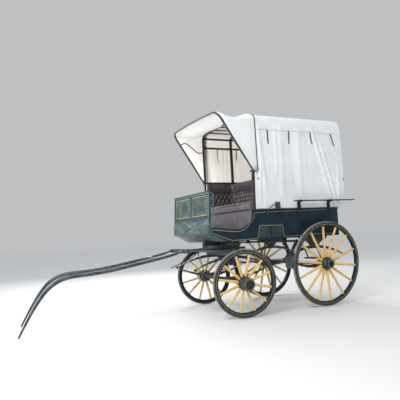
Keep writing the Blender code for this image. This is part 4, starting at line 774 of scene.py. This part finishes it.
def build_hoop():
    """Leather-bound hoop, thicker above its feet, with a pale grey strip along its front that is a painted
    highlight.
    """
    half = HOOP_SIZE / 2
    line = arch(HOOP_HALF - half, 0.0, HOOD_REACH - half, HOOD_CORNER - half, HOOD_CROWN)
    plain = [hood_point(y, z) for y, z in line]
    along = HOOD_TURN @ Vector((1, 0, 0))
    middle = hood_point(0, HOOD_REACH / 2)
    bound, seam = [], []
    for i, (point, (y, z)) in enumerate(zip(plain, line)):
        outward = heading_at(plain, i).cross(along)
        inward = outward if outward.dot(middle - point) > 0 else -outward
        grown = HOOP_GROWN * min(1.0, max(0.0, (z - 0.15) / 0.2))
        half_along = HOOP_DEPTH / 2 + grown / 2
        point = point + inward * grown
        bound.append(ring_at(point, along, outward, half_along, half + grown))
        # The pale strip on the hoop's front face: a painted highlight.
        seam.append(ring_at(point - along * (half_along - 0.001), along, outward, 0.0025, 0.0035))
    bar_piece("hood_hoop_highlight_strip", seam, 8, HOOP_HIGHLIGHT, "hood", "dark_bow_wood")
    shape = bmesh.new()
    drawn_bar(shape, bound, 16)
    eye = [(0.0075, -half), (0.0185, -half), (0.020, -half + 0.002), (0.020, half - 0.002), (0.0185, half),
           (0.0075, half)]
    for side, _ in SIDES:
        foot = Matrix.Translation(hood_point(side * (HOOP_HALF - half), 0)) @ Matrix.Rotation(pi / 2, 4, "X")
        turned(shape, eye, 32, foot, closed=True)
        stay = spline([at(x, side * y, z) for x, y, z in STAY], 6)
        drawn_bar(shape, along_path(stay, 0.0075))
    made("hood_hoop_bound", shape, [BINDING], "hood", ["hood_hoop"], 40, "dark_bow_wood")


build_hoop()


def grid_sheet(points, way):
    """A sheet through rows of points that keeps a grid's UVs, its front looking along way."""
    shape = bmesh.new()
    shape.loops.layers.uv.new("cloth")
    columns, rows = len(points[0]) - 1, len(points) - 1
    bmesh.ops.create_grid(shape, x_segments=columns, y_segments=rows, size=1.0, calc_uvs=True)
    for v in shape.verts:
        v.co = points[round((v.co.y + 1) / 2 * rows)][round((v.co.x + 1) / 2 * columns)]
    bmesh.ops.recalc_face_normals(shape, faces=shape.faces)
    probe = max(shape.faces, key=lambda face: face.calc_center_median().dot(way))
    if probe.normal.dot(way) < 0:
        bmesh.ops.reverse_faces(shape, faces=shape.faces)
    return shape


def sheet_piece(name, shape, materials, thick, offset, smooth, slot):
    """Makes a sheet into a piece with a thickness, its other face in the second material."""
    piece = finished(name, shape, materials, None, (), smooth, slot)
    solid = piece.modifiers.new("Thickness", "SOLIDIFY")
    solid.thickness = thick
    solid.offset = offset
    solid.material_offset = 1
    solid.material_offset_rim = 0
    solid.use_even_offset = True
    graph = bpy.context.evaluated_depsgraph_get()
    mesh = bpy.data.meshes.new_from_object(piece.evaluated_get(graph))
    old = piece.data
    piece.modifiers.clear()
    piece.data = mesh
    bpy.data.meshes.remove(old)
    return piece


def crease(x, z, ax, az, bx, bz, width, height):
    """Height of a soft ridge along a line, fading at its ends."""
    dx, dz = bx - ax, bz - az
    length = sqrt(dx * dx + dz * dz)
    t = ((x - ax) * dx + (z - az) * dz) / length ** 2
    off = ((x - ax) * dz - (z - az) * dx) / length
    fade = 1.0 if 0 <= t <= 1 else max(0.0, 1 - (abs(t - 0.5) - 0.5) * length / 0.16)
    return height * np.exp(-(off / width) ** 2) * fade


# Folds of the side curtain: x and z at one end, x and z at the other, half width and height
FOLD_GAIN = 1.6
FOLDS = [
    (0.26, 2.40, 0.33, 1.75, 0.040, 0.011),
    (0.36, 2.38, 0.42, 1.60, 0.050, -0.008),
    (0.55, 2.42, 0.54, 1.90, 0.020, 0.008),
    (0.63, 2.42, 0.62, 1.60, 0.045, 0.009),
    (0.80, 2.42, 0.83, 1.75, 0.022, -0.008),
    (0.94, 2.40, 0.93, 1.60, 0.050, 0.009),
    (1.08, 2.42, 1.10, 1.95, 0.022, -0.007),
    (1.20, 2.40, 1.46, 1.50, 0.030, 0.016),
    (1.26, 2.38, 1.51, 1.42, 0.018, -0.014),
    (1.36, 2.15, 1.55, 1.46, 0.026, 0.014),
    (1.42, 2.10, 1.60, 1.45, 0.016, -0.012),
    (1.62, 1.85, 1.60, 1.40, 0.022, 0.012),
    (0.30, 1.75, 0.27, 1.40, 0.030, -0.008),
    (0.27, 1.84, 0.24, 1.37, 0.012, 0.010),
    (1.05, 1.95, 1.55, 1.72, 0.022, 0.007),
    (1.44, 2.40, 1.62, 2.12, 0.024, 0.008),
    (1.10, 2.28, 1.40, 2.16, 0.016, 0.006),
]


def side_fold(x, z):
    """How far the side curtain stands out at a point."""
    total = 0.0
    for fold in FOLDS:
        total += crease(x, z, *fold)
    total += 0.004 * noise.noise(Vector((x * 3.1, z * 1.6, 0.4)))
    total += 0.0022 * noise.noise(Vector((x * 9.0, z * 5.0, 2.1)))
    return total * FOLD_GAIN


def rear_edge(z):
    """Where the tilt's canvas ends behind, by height."""
    table = [(1.352, 1.611), (1.385, 1.655), (1.43, 1.690), (1.53, 1.722), (1.84, 1.735), (2.20, 1.733),
             (2.43, 1.726), (2.50, 1.718), (2.567, 1.700), (2.66, 1.690)]
    return float(np.interp(z, [t[0] for t in table], [t[1] for t in table]))


def front_edge(y, z):
    """Where the tilt's canvas begins in front: on the left it hangs back a little from the first bow."""
    if y > 0:
        return CANVAS_FRONT + 0.016
    return float(np.interp(z, [1.36, 1.887, 2.25], [0.176, 0.192, CANVAS_FRONT + 0.042]))


def build_tilt_canvas():
    """One sheet over the bows: side curtains, eaves and roof.  Gives its line across the carriage."""
    half = TILT_HALF + TILT_LIFT
    top = BOW_TOP + LATH_THICK + 0.0005
    corner = BOW_CORNER + 0.010
    base = top - BOW_CROWN - corner
    flat = half - corner
    right = [(half, CURTAIN_FOOT + (EAVE_Z - 0.003 - CURTAIN_FOOT) * i / 60) for i in range(61)]
    right += [(half, EAVE_Z + 0.001 + (base - EAVE_Z - 0.001) * i / 6) for i in range(6)]
    right += [(flat + corner * cos(t), base + corner * sin(t)) for t in [pi / 2 * i / 14 for i in range(14)]]
    right += [(flat * f, top - BOW_CROWN * f * f) for f in [1 - i / 30 for i in range(30)]]
    line = [(-y, z) for y, z in right] + [(0.0, top)] + right[::-1]

    def curtain_point(x, y, z, edge):
        """A point of a side curtain, its folds fading towards edge 0."""
        hang = min(1.0, max(0.0, (base + 0.02 - z) / 0.12)) * min(1.0, 0.25 + (z - 1.35) / 0.10)
        rise = max(0.0, side_fold(x, z) + 0.004) * hang * edge
        seam = EAVE_STEP if z > EAVE_Z else 0.0
        wave = sin(x * 70 + 3 * noise.noise(Vector((x * 5, 0, 0))))
        pucker = 0.004 * max(0.0, 1 - (z - CURTAIN_FOOT) / 0.05) * wave
        out = rise + seam + 0.004 * hang + pucker * hang
        return at(x, y + (out if y > 0 else -out), z)

    def roof_point(x, y, z):
        """A point of the roof, sagging a little between the bows."""
        along = min(abs(x - bow) for bow in (*BOW_XS, END_BOW_X)) / 0.25
        sag = ROOF_SAG * min(1.0, along) ** 2 * (1 - abs(y) / half)
        dip = 0.002 * noise.noise(Vector((x * 4.0, y * 5.0, 1.2)))
        out = Vector((0, y / half * max(0.0, (abs(y) - flat) / corner), 1)).normalized()
        return at(x, y, z) + out * EAVE_STEP - UP * max(0.0, sag + dip - 0.001)

    columns = 150
    points = []
    for y, z in line:
        row = []
        start, end = front_edge(y, z), rear_edge(z)
        for i in range(columns + 1):
            x = start + (end - start) * i / columns
            edge = max(0.0, min(1.0, (x - HOOD_BACK) / 0.05, (end - x) / 0.05 + 0.15))
            row.append(curtain_point(x, y, z, edge) if z < base + 0.02 else roof_point(x, y, z))
        points.append(row)
    shape = grid_sheet(points, UP)
    # The inner face takes the painted shade.
    piece = sheet_piece("tilt_cover", shape, [CANVAS_OUT, CANVAS_PAINTED_SHADE], CLOTH, -1.0, 60, "white_canvas")
    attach(piece, "carriage")
    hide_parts("canvas_roof", "canvas_left", "canvas_right")
    return line


TILT_LINE = build_tilt_canvas()


def build_turn_buttons():
    """Small turn buttons that hold the side curtains' front and rear edges."""
    shape = bmesh.new()
    for side, _ in SIDES:
        for x in (front_edge(side, BUTTON_Z) + 0.045, rear_edge(BUTTON_Z) - 0.012):
            stud(shape, across_at(x, side * (TILT_HALF + TILT_LIFT + 0.009), BUTTON_Z), 0.010, 0.010)
    finished("curtain_buttons", shape, [IRON], "carriage", (), 40, "black_iron")


build_turn_buttons()


def build_rear_curtain():
    """Curtain across the end bow, a little slack between its lacings."""
    face = END_BOW_X + BOW_WIDTH / 2 + 0.004
    rows, columns = 70, 80
    half = TILT_HALF - 0.002
    flat = TILT_HALF - BOW_CORNER
    shoulder = BOW_TOP - BOW_CROWN - BOW_CORNER
    points = []
    for j in range(rows + 1):
        row = []
        for i in range(columns + 1):
            share = -1 + 2 * i / columns
            y = share * half
            limit = BOW_TOP - 0.004 - BOW_CROWN * (abs(y) / flat) ** 2
            if abs(y) > flat:
                limit = shoulder + sqrt(max(0.0, BOW_CORNER ** 2 - (abs(y) - flat) ** 2)) - 0.004
            foot = REAR_FOOT + 0.16 * abs(share) ** 10
            height = foot + (limit - foot) * j / rows
            fold = 0.008 * sin(y * 16.0 + 0.6 * sin(height * 4)) * min(1.0, (limit - height) / 0.4)
            fold += 0.004 * noise.noise(Vector((y * 5, height * 3, 4.0)))
            row.append(at(face + max(0.0, fold + 0.004) * min(1.0, (1 - abs(share)) * 6), y, height))
        points.append(row)
    shape = grid_sheet(points, Vector((1, 0, 0)))
    # The inner face takes the painted shade.
    piece = sheet_piece("rear_curtain", shape, [CANVAS_OUT, CANVAS_PAINTED_SHADE], CLOTH, -1.0, 60, "white_canvas")
    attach(piece, "carriage")
    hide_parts("canvas_rear")


build_rear_curtain()


def build_hood_canvas():
    """Sheet from the hoop back over the first bow, slack before it and lying on the tilt behind it.

    Gives the points of its back edge.
    """
    half = HOOP_SIZE / 2
    start = 0.022
    lift = TILT_LIFT + EAVE_STEP + 0.003
    off = 0.002 - half
    front = arch(HOOP_HALF + off, start, HOOD_REACH + off, HOOD_CORNER - half, HOOD_CROWN, 16)
    back_top = BOW_TOP + LATH_THICK + lift
    back = arch(TILT_HALF + lift, PIVOT_Z + 0.030, back_top, BOW_CORNER + 0.014, BOW_CROWN, 16)
    columns = 56
    rest = (BOW_XS[0] - 0.022 - HOOD_X) / (HOOD_BACK - HOOD_X)
    points = []
    for (fy, fz), (by, bz) in zip(front, back):
        a = hood_point(fy, fz, HOOP_DEPTH / 2)
        b = at(HOOD_BACK, by, bz)
        side = 1 if fy > 0 else -1
        reach = max(0.0, (fz - start) / HOOD_REACH)
        on_top = max(0.0, min(1.0, 1 - (abs(fy) - (HOOP_HALF - HOOD_CORNER)) / HOOD_CORNER))
        row = []
        for i in range(columns + 1):
            t = i / columns
            free = min(1.0, t / rest)
            p = a.lerp(b, t)
            p.z = a.z + (b.z - a.z) * min(1.0, (t / rest) ** 0.9) if reach > 0.5 else p.z
            slack = sin(pi * free ** 1.15) ** 1.1
            puff = HOOD_PUFF * np.exp(-((t - 0.10) / 0.07) ** 2) * (1 - np.exp(-(t / 0.03) ** 2))
            p.z += (puff - HOOD_SLACK * slack) * on_top * reach ** 2
            p.z -= 0.012 * (1 - on_top) * slack * reach
            p.y += side * (puff * 0.6 - 0.012 * slack) * (1 - on_top) * reach
            crumple = noise.noise(Vector((p.x * 6, p.y * 4, p.z * 4)))
            ripple = sin(11 * t + fy * 6) * on_top
            p.z += (0.007 * crumple + 0.004 * ripple) * slack * on_top
            p.y += side * 0.006 * crumple * slack * (1 - on_top)
            row.append(p)
        points.append(row)
    shape = grid_sheet(points, UP)
    area = sum(f.calc_area() for f in shape.faces)
    # Its inner face takes the painted glow.
    piece = sheet_piece("hood_cover", shape, [CANVAS_OUT, CANVAS_PAINTED_GLOW], CLOTH, 0.0, 60, "white_canvas")
    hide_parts("hood_canvas")
    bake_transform(piece)
    return [row[-1] for row in points]


HOOD_EDGE = build_hood_canvas()


def build_binding():
    """Dark webbing along the hood cover's back edge, curled forward at its feet, and the tilt's front hem."""
    out = HOOP_HALF + 0.003
    curl = [(0.188, 1.851), (0.205, 1.853), (0.221, 1.862), (0.230, 1.880)]
    left = [at(x, -out, z) for x, z in curl]
    right = [at(x, out, z) for x, z in reversed(curl)]
    sewn = [p + Vector((0, 0.0015 * p.y, 0.002 if p.z > 2.6 else 0)) for p in HOOD_EDGE[1:-1]]
    points = spline(left, 3) + sewn + spline(right, 3)
    rings = []
    for i, point in enumerate(points):
        outward = Vector((0, point.y, 0)) if point.z < 2.5 else Vector((0, point.y * 0.3, point.z - 2.2))
        heading = heading_at(points, i)
        across = heading.cross(outward).normalized()
        rings.append(ring_at(point, across, across.cross(heading), 0.008, 0.0035))
    bar_piece("hood_edge_binding", rings, 8, BINDING, "carriage", "dark_bow_wood")
    hem = [at(front_edge(y, z) + 0.002, y * 1.003, z) for y, z in TILT_LINE]
    bar_piece("tilt_front_hem", along_arch(hem, 0.004, 0.0025), 8, CANVAS_OUT, "carriage", "white_canvas")


build_binding()


# The outside tie straps as (x, z) of their tops and feet
TIE_STRAPS = [((0.417, 2.441), (0.435, 2.226)), ((0.787, 2.447), (0.781, 2.240)),
              ((1.155, 2.438), (1.176, 2.252)), ((1.532, 2.437), (1.579, 2.242))]


def build_straps():
    """Tie straps that hang from the eaves over the folds of the side curtains, pointed at their feet."""
    count = 16
    for number, ((x0, z0), (x1, z1)) in enumerate(TIE_STRAPS, 1):
        for side, tag in SIDES:
            rings = []
            for i in range(count + 1):
                t = i / count
                x, z = x0 + (x1 - x0) * t + 0.004 * sin(4 * t + number), z0 + (z1 - z0) * t
                fold = max(0.0, side_fold(x, z) + 0.004) * min(1.0, (2.56 - z) / 0.12)
                out = TILT_HALF + TILT_LIFT + 0.007 + fold
                half = 0.0105 if t < 0.93 else 0.0105 * (1.25 - t) * 3.1
                centre = at(x, side * out, z)
                rings.append(ring_at(centre, Vector((1, 0, 0)), Vector((0, side, 0)), half, 0.0018))
            bar_piece(f"tie_strap_{number}_{tag}", rings, 8, STRAP_LEATHER, "carriage", "brown_leather")


build_straps()


# Driver's seat and benches

SEAT_BOARD_TOP = 1.364
SEAT_TOP = 1.472
SEAT_FRONT = 0.12
WING_INNER = 0.6327
BACK_FRONT = BOW_XS[1] - 0.018 - 0.0003
PAD_THICK = 0.055
PAD_STEP = 1.842 - 0.14
CUSHION_PULL = 0.010
BENCH_FRONT, BENCH_REAR = 0.671, 1.544
BENCH_INNER = 0.278
BENCH_BOTTOM, BENCH_TOP = 1.3003, 1.3753


def cushion_shape(low, high, crown, scallop=0.0, y_pitch=0.0):
    """A stuffed box: crowned top, sides pulled in between the corners, rucks along its front and back."""
    shape = bmesh.new()
    size = high - low
    foot = Vector(((low.x + high.x) / 2, (low.y + high.y) / 2, low.z))
    bmesh.ops.create_cube(shape, size=1.0)
    bmesh.ops.subdivide_edges(shape, edges=shape.edges[:], cuts=47, use_grid_fill=True)
    for v in shape.verts:
        u, w, h = v.co.x * 2, v.co.y * 2, v.co.z + 0.5
        on_x, on_y = abs(u) > 0.99, abs(w) > 0.99
        x = u * (size.x / 2 - (CUSHION_PULL * (1 - w * w) if on_x else 0))
        y = w * (size.y / 2 - (CUSHION_PULL * (1 - u * u) if on_y else 0))
        z = h * (size.z - crown) + crown * h * (1 - abs(u) ** 6) * (1 - abs(w) ** 6)
        ruck = abs(sin(y_pitch * w)) ** 0.5 * max(0.0, 1 - abs(abs(u) - 0.94) / 0.12)
        z -= scallop * h ** 3 * (1 - ruck) * max(0.0, abs(u) - 0.8) * 5
        swell = 0.006 * sin(pi * h)
        v.co = foot + Vector((x + (swell * u if on_x else 0), y + (swell * w if on_y else 0), z))
    return shape


def piping(shape, low, high, z, radius):
    """A sewn cord round a cushion's edge."""
    cx, cy = (low.x + high.x) / 2, (low.y + high.y) / 2
    corner = 0.02
    sx, sy = (high.x - low.x) / 2 - corner, (high.y - low.y) / 2 - corner
    loop = []
    for qx, qy, begin in ((1, 1, 0), (-1, 1, pi / 2), (-1, -1, pi), (1, -1, 3 * pi / 2)):
        for t in [begin + pi / 2 * k / 6 for k in range(7)]:
            loop.append(Vector((cx + qx * sx + corner * cos(t), cy + qy * sy + corner * sin(t), z)))
    fine = []
    for a, b in zip(loop, loop[1:] + loop[:1]):
        count = max(1, int((b - a).length / 0.03))
        fine += [a.lerp(b, i / count) for i in range(count)]
    rings = []
    for i, point in enumerate(fine):
        heading = (fine[(i + 1) % len(fine)] - fine[i - 1]).normalized()
        rings.append(ring_at(point, heading.cross(UP), UP, radius, radius))
    drawn_bar(shape, rings, 8, closed=True)


def build_seat_cushion():
    """The driver's cushion: scalloped along its front and back, its ends in another leather."""
    low = at(SEAT_FRONT + 0.008, -WING_INNER + 0.004, SEAT_BOARD_TOP)
    high = at(BACK_FRONT - 0.002, WING_INNER - 0.004, SEAT_TOP + 0.004)
    shape = cushion_shape(low, high, 0.022, 0.008, 7 * pi)
    for z in (SEAT_TOP - 0.022, SEAT_BOARD_TOP + 0.007):
        piping(shape, low - Vector((0.002, 0.001, 0)), high + Vector((0.0, 0.001, 0)), z, 0.0055)
    piece = made("driver_cushion", shape, [LEATHER, END_LEATHER], "carriage", ["seat_cushion"], 70,
                 "brown_leather")
    second_finish(piece, lambda face: abs(face.center.y) > WING_INNER - 0.05 and abs(face.normal.z) < 0.7)


build_seat_cushion()


def build_bench_cushions():
    """Flat piped cushions on the two benches, from the tilt's rails inward."""
    for side, tag in SIDES:
        low_y, high_y = span(side, TILT_HALF - BOW_WIDTH - 0.004, BENCH_INNER)
        low = at(BENCH_FRONT + 0.003, low_y + 0.002, BENCH_BOTTOM)
        high = at(BENCH_REAR - 0.003, high_y - 0.002, BENCH_TOP)
        shape = cushion_shape(low, high, 0.018)
        for z in (1.362, 1.307):
            piping(shape, low, high, z, 0.005)
        piece = made(f"bench_pad_{tag}", shape, [LEATHER], "carriage", [f"bench_cushion_{tag}"], 70,
                     "brown_leather")


build_bench_cushions()


def tuft_height(u, v, pitch_u, pitch_v, depth):
    """Height of diamond buttoning at (u, v); nought at a button, depth at the top of a pillow."""
    a = u / pitch_u + v / pitch_v
    b = u / pitch_u - v / pitch_v
    ra, rb = abs((a + 0.5) % 1.0 - 0.5) * 2, abs((b + 0.5) % 1.0 - 0.5) * 2
    return depth * (0.25 + 0.75 * sqrt((ra * rb) ** 0.9))


WALL_FRONT = BOW_XS[0] + BOW_WIDTH / 2 + 0.006
WALL_HALF = WING_INNER - 0.001
WALL_CORNER = 0.085
WALL_WING = BACK_FRONT - WALL_FRONT - WALL_CORNER
WALL_ARC = WALL_CORNER * pi / 2
WALL_MIDDLE = 2 * (WALL_HALF - WALL_CORNER)
WALL_LENGTH = 2 * (WALL_WING + WALL_ARC) + WALL_MIDDLE


def wall_plan(s):
    """Place and inward direction at a distance along the seat's wall, left wing to right wing."""
    back = BACK_FRONT - WALL_CORNER
    if s < WALL_WING:
        return Vector((WALL_FRONT + s, -WALL_HALF, 0)), Vector((0, 1, 0))
    s -= WALL_WING
    if s < WALL_ARC:
        t = s / WALL_CORNER
        out = Vector((sin(t), -cos(t), 0))
        return Vector((back, WALL_CORNER - WALL_HALF, 0)) + out * WALL_CORNER, -out
    s -= WALL_ARC
    if s < WALL_MIDDLE:
        return Vector((BACK_FRONT, WALL_CORNER - WALL_HALF + s, 0)), Vector((-1, 0, 0))
    s -= WALL_MIDDLE
    if s < WALL_ARC:
        t = s / WALL_CORNER
        out = Vector((cos(t), sin(t), 0))
        return Vector((back, WALL_HALF - WALL_CORNER, 0)) + out * WALL_CORNER, -out
    return Vector((back - (s - WALL_ARC), WALL_HALF, 0)), Vector((0, -1, 0))


def wall_pad(low, top, columns, rows, thick_at):
    """A grid laid on the wall and extruded inward by thick_at(s, z): a closed pad."""
    shape = bmesh.new()
    along = shape.verts.layers.float.new("along")
    height = shape.verts.layers.float.new("height")
    bmesh.ops.create_grid(shape, x_segments=columns, y_segments=rows, size=0.5)
    for v in shape.verts:
        v[along] = WALL_LENGTH * min(1.0, max(0.0, v.co.x + 0.5))
        v[height] = low + (top - low) * (v.co.y + 0.5)
        point = wall_plan(v[along])[0]
        v.co = at(point.x, point.y, v[height])
    grown = bmesh.ops.extrude_face_region(shape, geom=shape.faces[:], use_keep_orig=True)["geom"]
    for v in grown:
        if isinstance(v, bmesh.types.BMVert):
            v.co += wall_plan(v[along])[1] * thick_at(v[along], v[height])
    return shape


def build_upholstery():
    """Buttoned leather round the seat with a smooth band above, over back and both wings."""
    low, step, top = SEAT_TOP - 0.03, PAD_STEP, 1.840
    pitch_s, pitch_z, tuft = 0.076, 0.125, 0.026
    base = 0.028

    def buttoned(s, z):
        end = min(1.0, min(s, WALL_LENGTH - s) / 0.03)
        rise = min(1.0, (step - z) / 0.02 + 0.25)
        pad = (base + tuft_height(s, z - low, pitch_s, pitch_z, tuft)) * (0.35 + 0.65 * end) * rise
        return min(pad, PAD_THICK - 0.001)

    shape = wall_pad(low, step, 520, 64, buttoned)
    piece = made("buttoned_back", shape, [DARK_LEATHER], "carriage", ["seat_upholstery"], 75,
                 "dark_buttoned_leather")

    shape = bmesh.new()
    for m in range(int((step - low) / (pitch_z / 2)) + 1):
        z = low + m * pitch_z / 2
        if not SEAT_TOP - 0.02 < z < step - 0.012:
            continue
        s = pitch_s if m % 2 == 0 else pitch_s / 2
        while s < WALL_LENGTH - 0.02:
            point, inward = wall_plan(s)
            centre = at(point.x, point.y, z) + inward * (base + 0.25 * tuft)
            place = Matrix.Translation(centre) @ inward.to_track_quat("Z", "Y").to_matrix().to_4x4()
            bmesh.ops.create_uvsphere(shape, u_segments=10, v_segments=6, radius=0.0075,
                                      matrix=place @ Matrix.Diagonal((1, 1, 0.55, 1)))
            s += pitch_s
    finished("seat_buttons", shape, [DARK_LEATHER], "carriage", (), 60, "dark_buttoned_leather")

    band_low = step - 0.004

    def smooth_band(s, z):
        t = (z - band_low) / (top - band_low)
        bulge = 0.010 + 0.020 * sin(pi * min(1.0, max(0.0, t))) ** 0.45
        return bulge + 0.002 * noise.noise(Vector((s * 9, z * 20, 0.0)))

    shape = wall_pad(band_low, top, 260, 22, smooth_band)
    piece = made("smooth_back_band", shape, [BAND_LEATHER], "carriage", (), 70, "dark_buttoned_leather")


build_upholstery()


# Dash: panels, lining and reeds

def dash_place(y, z, off):
    """A place on the raking front of the dash, or off it."""
    return at(DASH_X + DASH_RAKE / (DASH_TOP - DASH_BOTTOM) * (z - DASH_BOTTOM) + off, y, z)


def build_dash_trim():
    """Faded panels sunk in the dash, framed by lines, with thin reeds along the top rail."""
    frame_width, stile, sunk = 0.042, 0.020, 0.010
    line_inset, line_half = 0.012, 0.0028
    ahead, sideways = Vector((1, 0, 0)), Vector((0, 1, 0))
    low_z, high_z = DASH_BOTTOM + frame_width + 0.001, DASH_TOP - frame_width - 0.001
    for side, tag in SIDES:
        low_y, high_y = span(side, stile + 0.001, DASH_HALF - frame_width - 0.001)
        columns = [low_y + (high_y - low_y) * i / 10 for i in range(11)]
        rows = [[dash_place(y, low_z + (high_z - low_z) * j / 10, sunk - 0.0012) for y in columns]
                for j in range(11)]
        panel = sheet_piece(f"dash_panel_{tag}", grid_sheet(rows, -ahead), [PANEL], 0.001, -1.0, 40,
                            "worn_dash_paint")
        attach(panel, "carriage")

        y0, y1, z0, z1 = low_y + line_inset, high_y - line_inset, low_z + line_inset, high_z - line_inset
        corners = [dash_place(y, z, sunk - 0.0016) for y, z in ((y0, z0), (y1, z0), (y1, z1), (y0, z1))]
        shape = bmesh.new()
        for a, b in zip(corners, corners[1:] + corners[:1]):
            heading = (b - a).normalized()
            ends = (a - heading * line_half, b + heading * line_half)
            drawn_bar(shape, [ring_at(p, -ahead, -ahead.cross(heading), 0.0008, line_half) for p in ends], 4)
        made(f"dash_lining_{tag}", shape, [CREAM_LINE], "carriage", (), 60, "worn_dash_paint")

    # The reeds take the pale reed colour: a painted highlight along each bead.
    bars = [((-DASH_HALF + 0.004, DASH_TOP - drop), (DASH_HALF - 0.004, DASH_TOP - drop), UP, 0.0026)
            for drop in (0.010, 0.022, 0.034)]
    bars += [((y, DASH_BOTTOM + 0.012), (y, DASH_TOP - 0.02), sideways, 0.0018)
             for y in (-DASH_HALF + 0.006, DASH_HALF - 0.006)]
    shape = bmesh.new()
    for *ends, upward, half in bars:
        drawn_bar(shape, [ring_at(dash_place(*p, -0.0015), ahead, upward, 0.0030, half) for p in ends], 10)
    made("dash_reeds", shape, [REED_HIGHLIGHT], "carriage", (), 60, "worn_dash_paint")


build_dash_trim()


# Floor, light and camera

SKY_LEVEL = 0.74
SKY = (0.95, 0.97, 1.0, 1)
BACKDROP = (0.52, 0.53, 0.54, 1)

# The lamps: name, place, what they look at, size, power and colour
LAMPS = (
    ("key", (-5.8, -5.0, 7.0), (0.6, 0, 1.4), 3.0, 590, (1.0, 0.985, 0.96)),
    ("front_fill", (-7.5, 1.0, 3.5), (0.4, 0, 1.4), 4.0, 250, (0.99, 0.995, 1.0)),
    ("far_side", (1.5, 6.5, 5.5), (0.8, 0, 1.8), 4.0, 380, (1.0, 0.99, 0.96)),
)

# The photograph's camera from the front axle, its angles in radians and its focal length in pixels
CAMERA_PLACE = (-3.2603, -5.7894, 1.046)
YAW, PITCH, ROLL = 0.4746, 0.0767, -0.0543
FOCAL = 469.5146
PHOTO_WIDTH = 400
SENSOR = 36


def build_floor():
    """A pale matt floor just under the tyres."""
    shape = bmesh.new()
    bmesh.ops.create_grid(shape, x_segments=1, y_segments=1, size=60.0)
    mesh = bpy.data.meshes.new("studio_floor")
    shape.to_mesh(mesh)
    shape.free()
    floor = placed("studio_floor", mesh)
    mesh.materials.append(finish("pale_floor", "dadbdb", 0.9)[0])
    floor.location.z = -0.002


def build_world():
    """A soft sky that lights the scene; what is seen, mirrored or looked through is a plain backdrop."""
    world = bpy.data.worlds.new("soft_studio")
    bpy.context.scene.world = world
    world.use_nodes = True
    tree = world.node_tree
    sky = tree.nodes["Background"]
    sky.inputs["Strength"].default_value = SKY_LEVEL
    sky.inputs["Color"].default_value = SKY
    backdrop = add_node(tree, "ShaderNodeBackground", [("Color", BACKDROP), ("Strength", 1.0)])
    ray = add_node(tree, "ShaderNodeLightPath")
    seen = ray.outputs["Is Camera Ray"]
    for kind in ("Is Glossy Ray", "Is Transmission Ray"):
        seen = add_node(tree, "ShaderNodeMath", [(0, seen), (1, ray.outputs[kind])],
                        operation="MAXIMUM").outputs[0]
    mix = add_node(tree, "ShaderNodeMixShader", [(0, seen), (1, sky.outputs[0]), (2, backdrop.outputs[0])])
    tree.links.new(mix.outputs[0], tree.nodes["World Output"].inputs["Surface"])


def build_lamps():
    for name, place, target, size, power, colour in LAMPS:
        light = bpy.data.lights.new(name, "AREA")
        light.shape = "DISK"
        light.size = size
        light.energy = power
        light.color = colour
        lamp = placed(name, light)
        lamp.location = place
        lamp.rotation_euler = (Vector(target) - Vector(place)).to_track_quat("-Z", "Y").to_euler()


def build_camera():
    """Camera at the photograph's place, solved from the wheels, dash, body and tilt."""
    ahead = Vector((sin(YAW) * cos(PITCH), cos(YAW) * cos(PITCH), sin(PITCH)))
    right = Vector((cos(YAW), -sin(YAW), 0))
    up = right.cross(ahead)
    side = right * cos(ROLL) + up * sin(ROLL)
    top = up * cos(ROLL) - right * sin(ROLL)
    data = bpy.data.cameras.new("camera")
    data.sensor_width = SENSOR
    data.lens = FOCAL * SENSOR / PHOTO_WIDTH
    data.clip_start = 0.05
    data.clip_end = 200
    camera = placed("camera", data)
    camera.matrix_world = axes_at(at(*CAMERA_PLACE), side, top, -ahead)
    bpy.context.scene.camera = camera
    bpy.context.scene.view_settings.view_transform = "Standard"


build_floor()
build_world()
build_lamps()
build_camera()
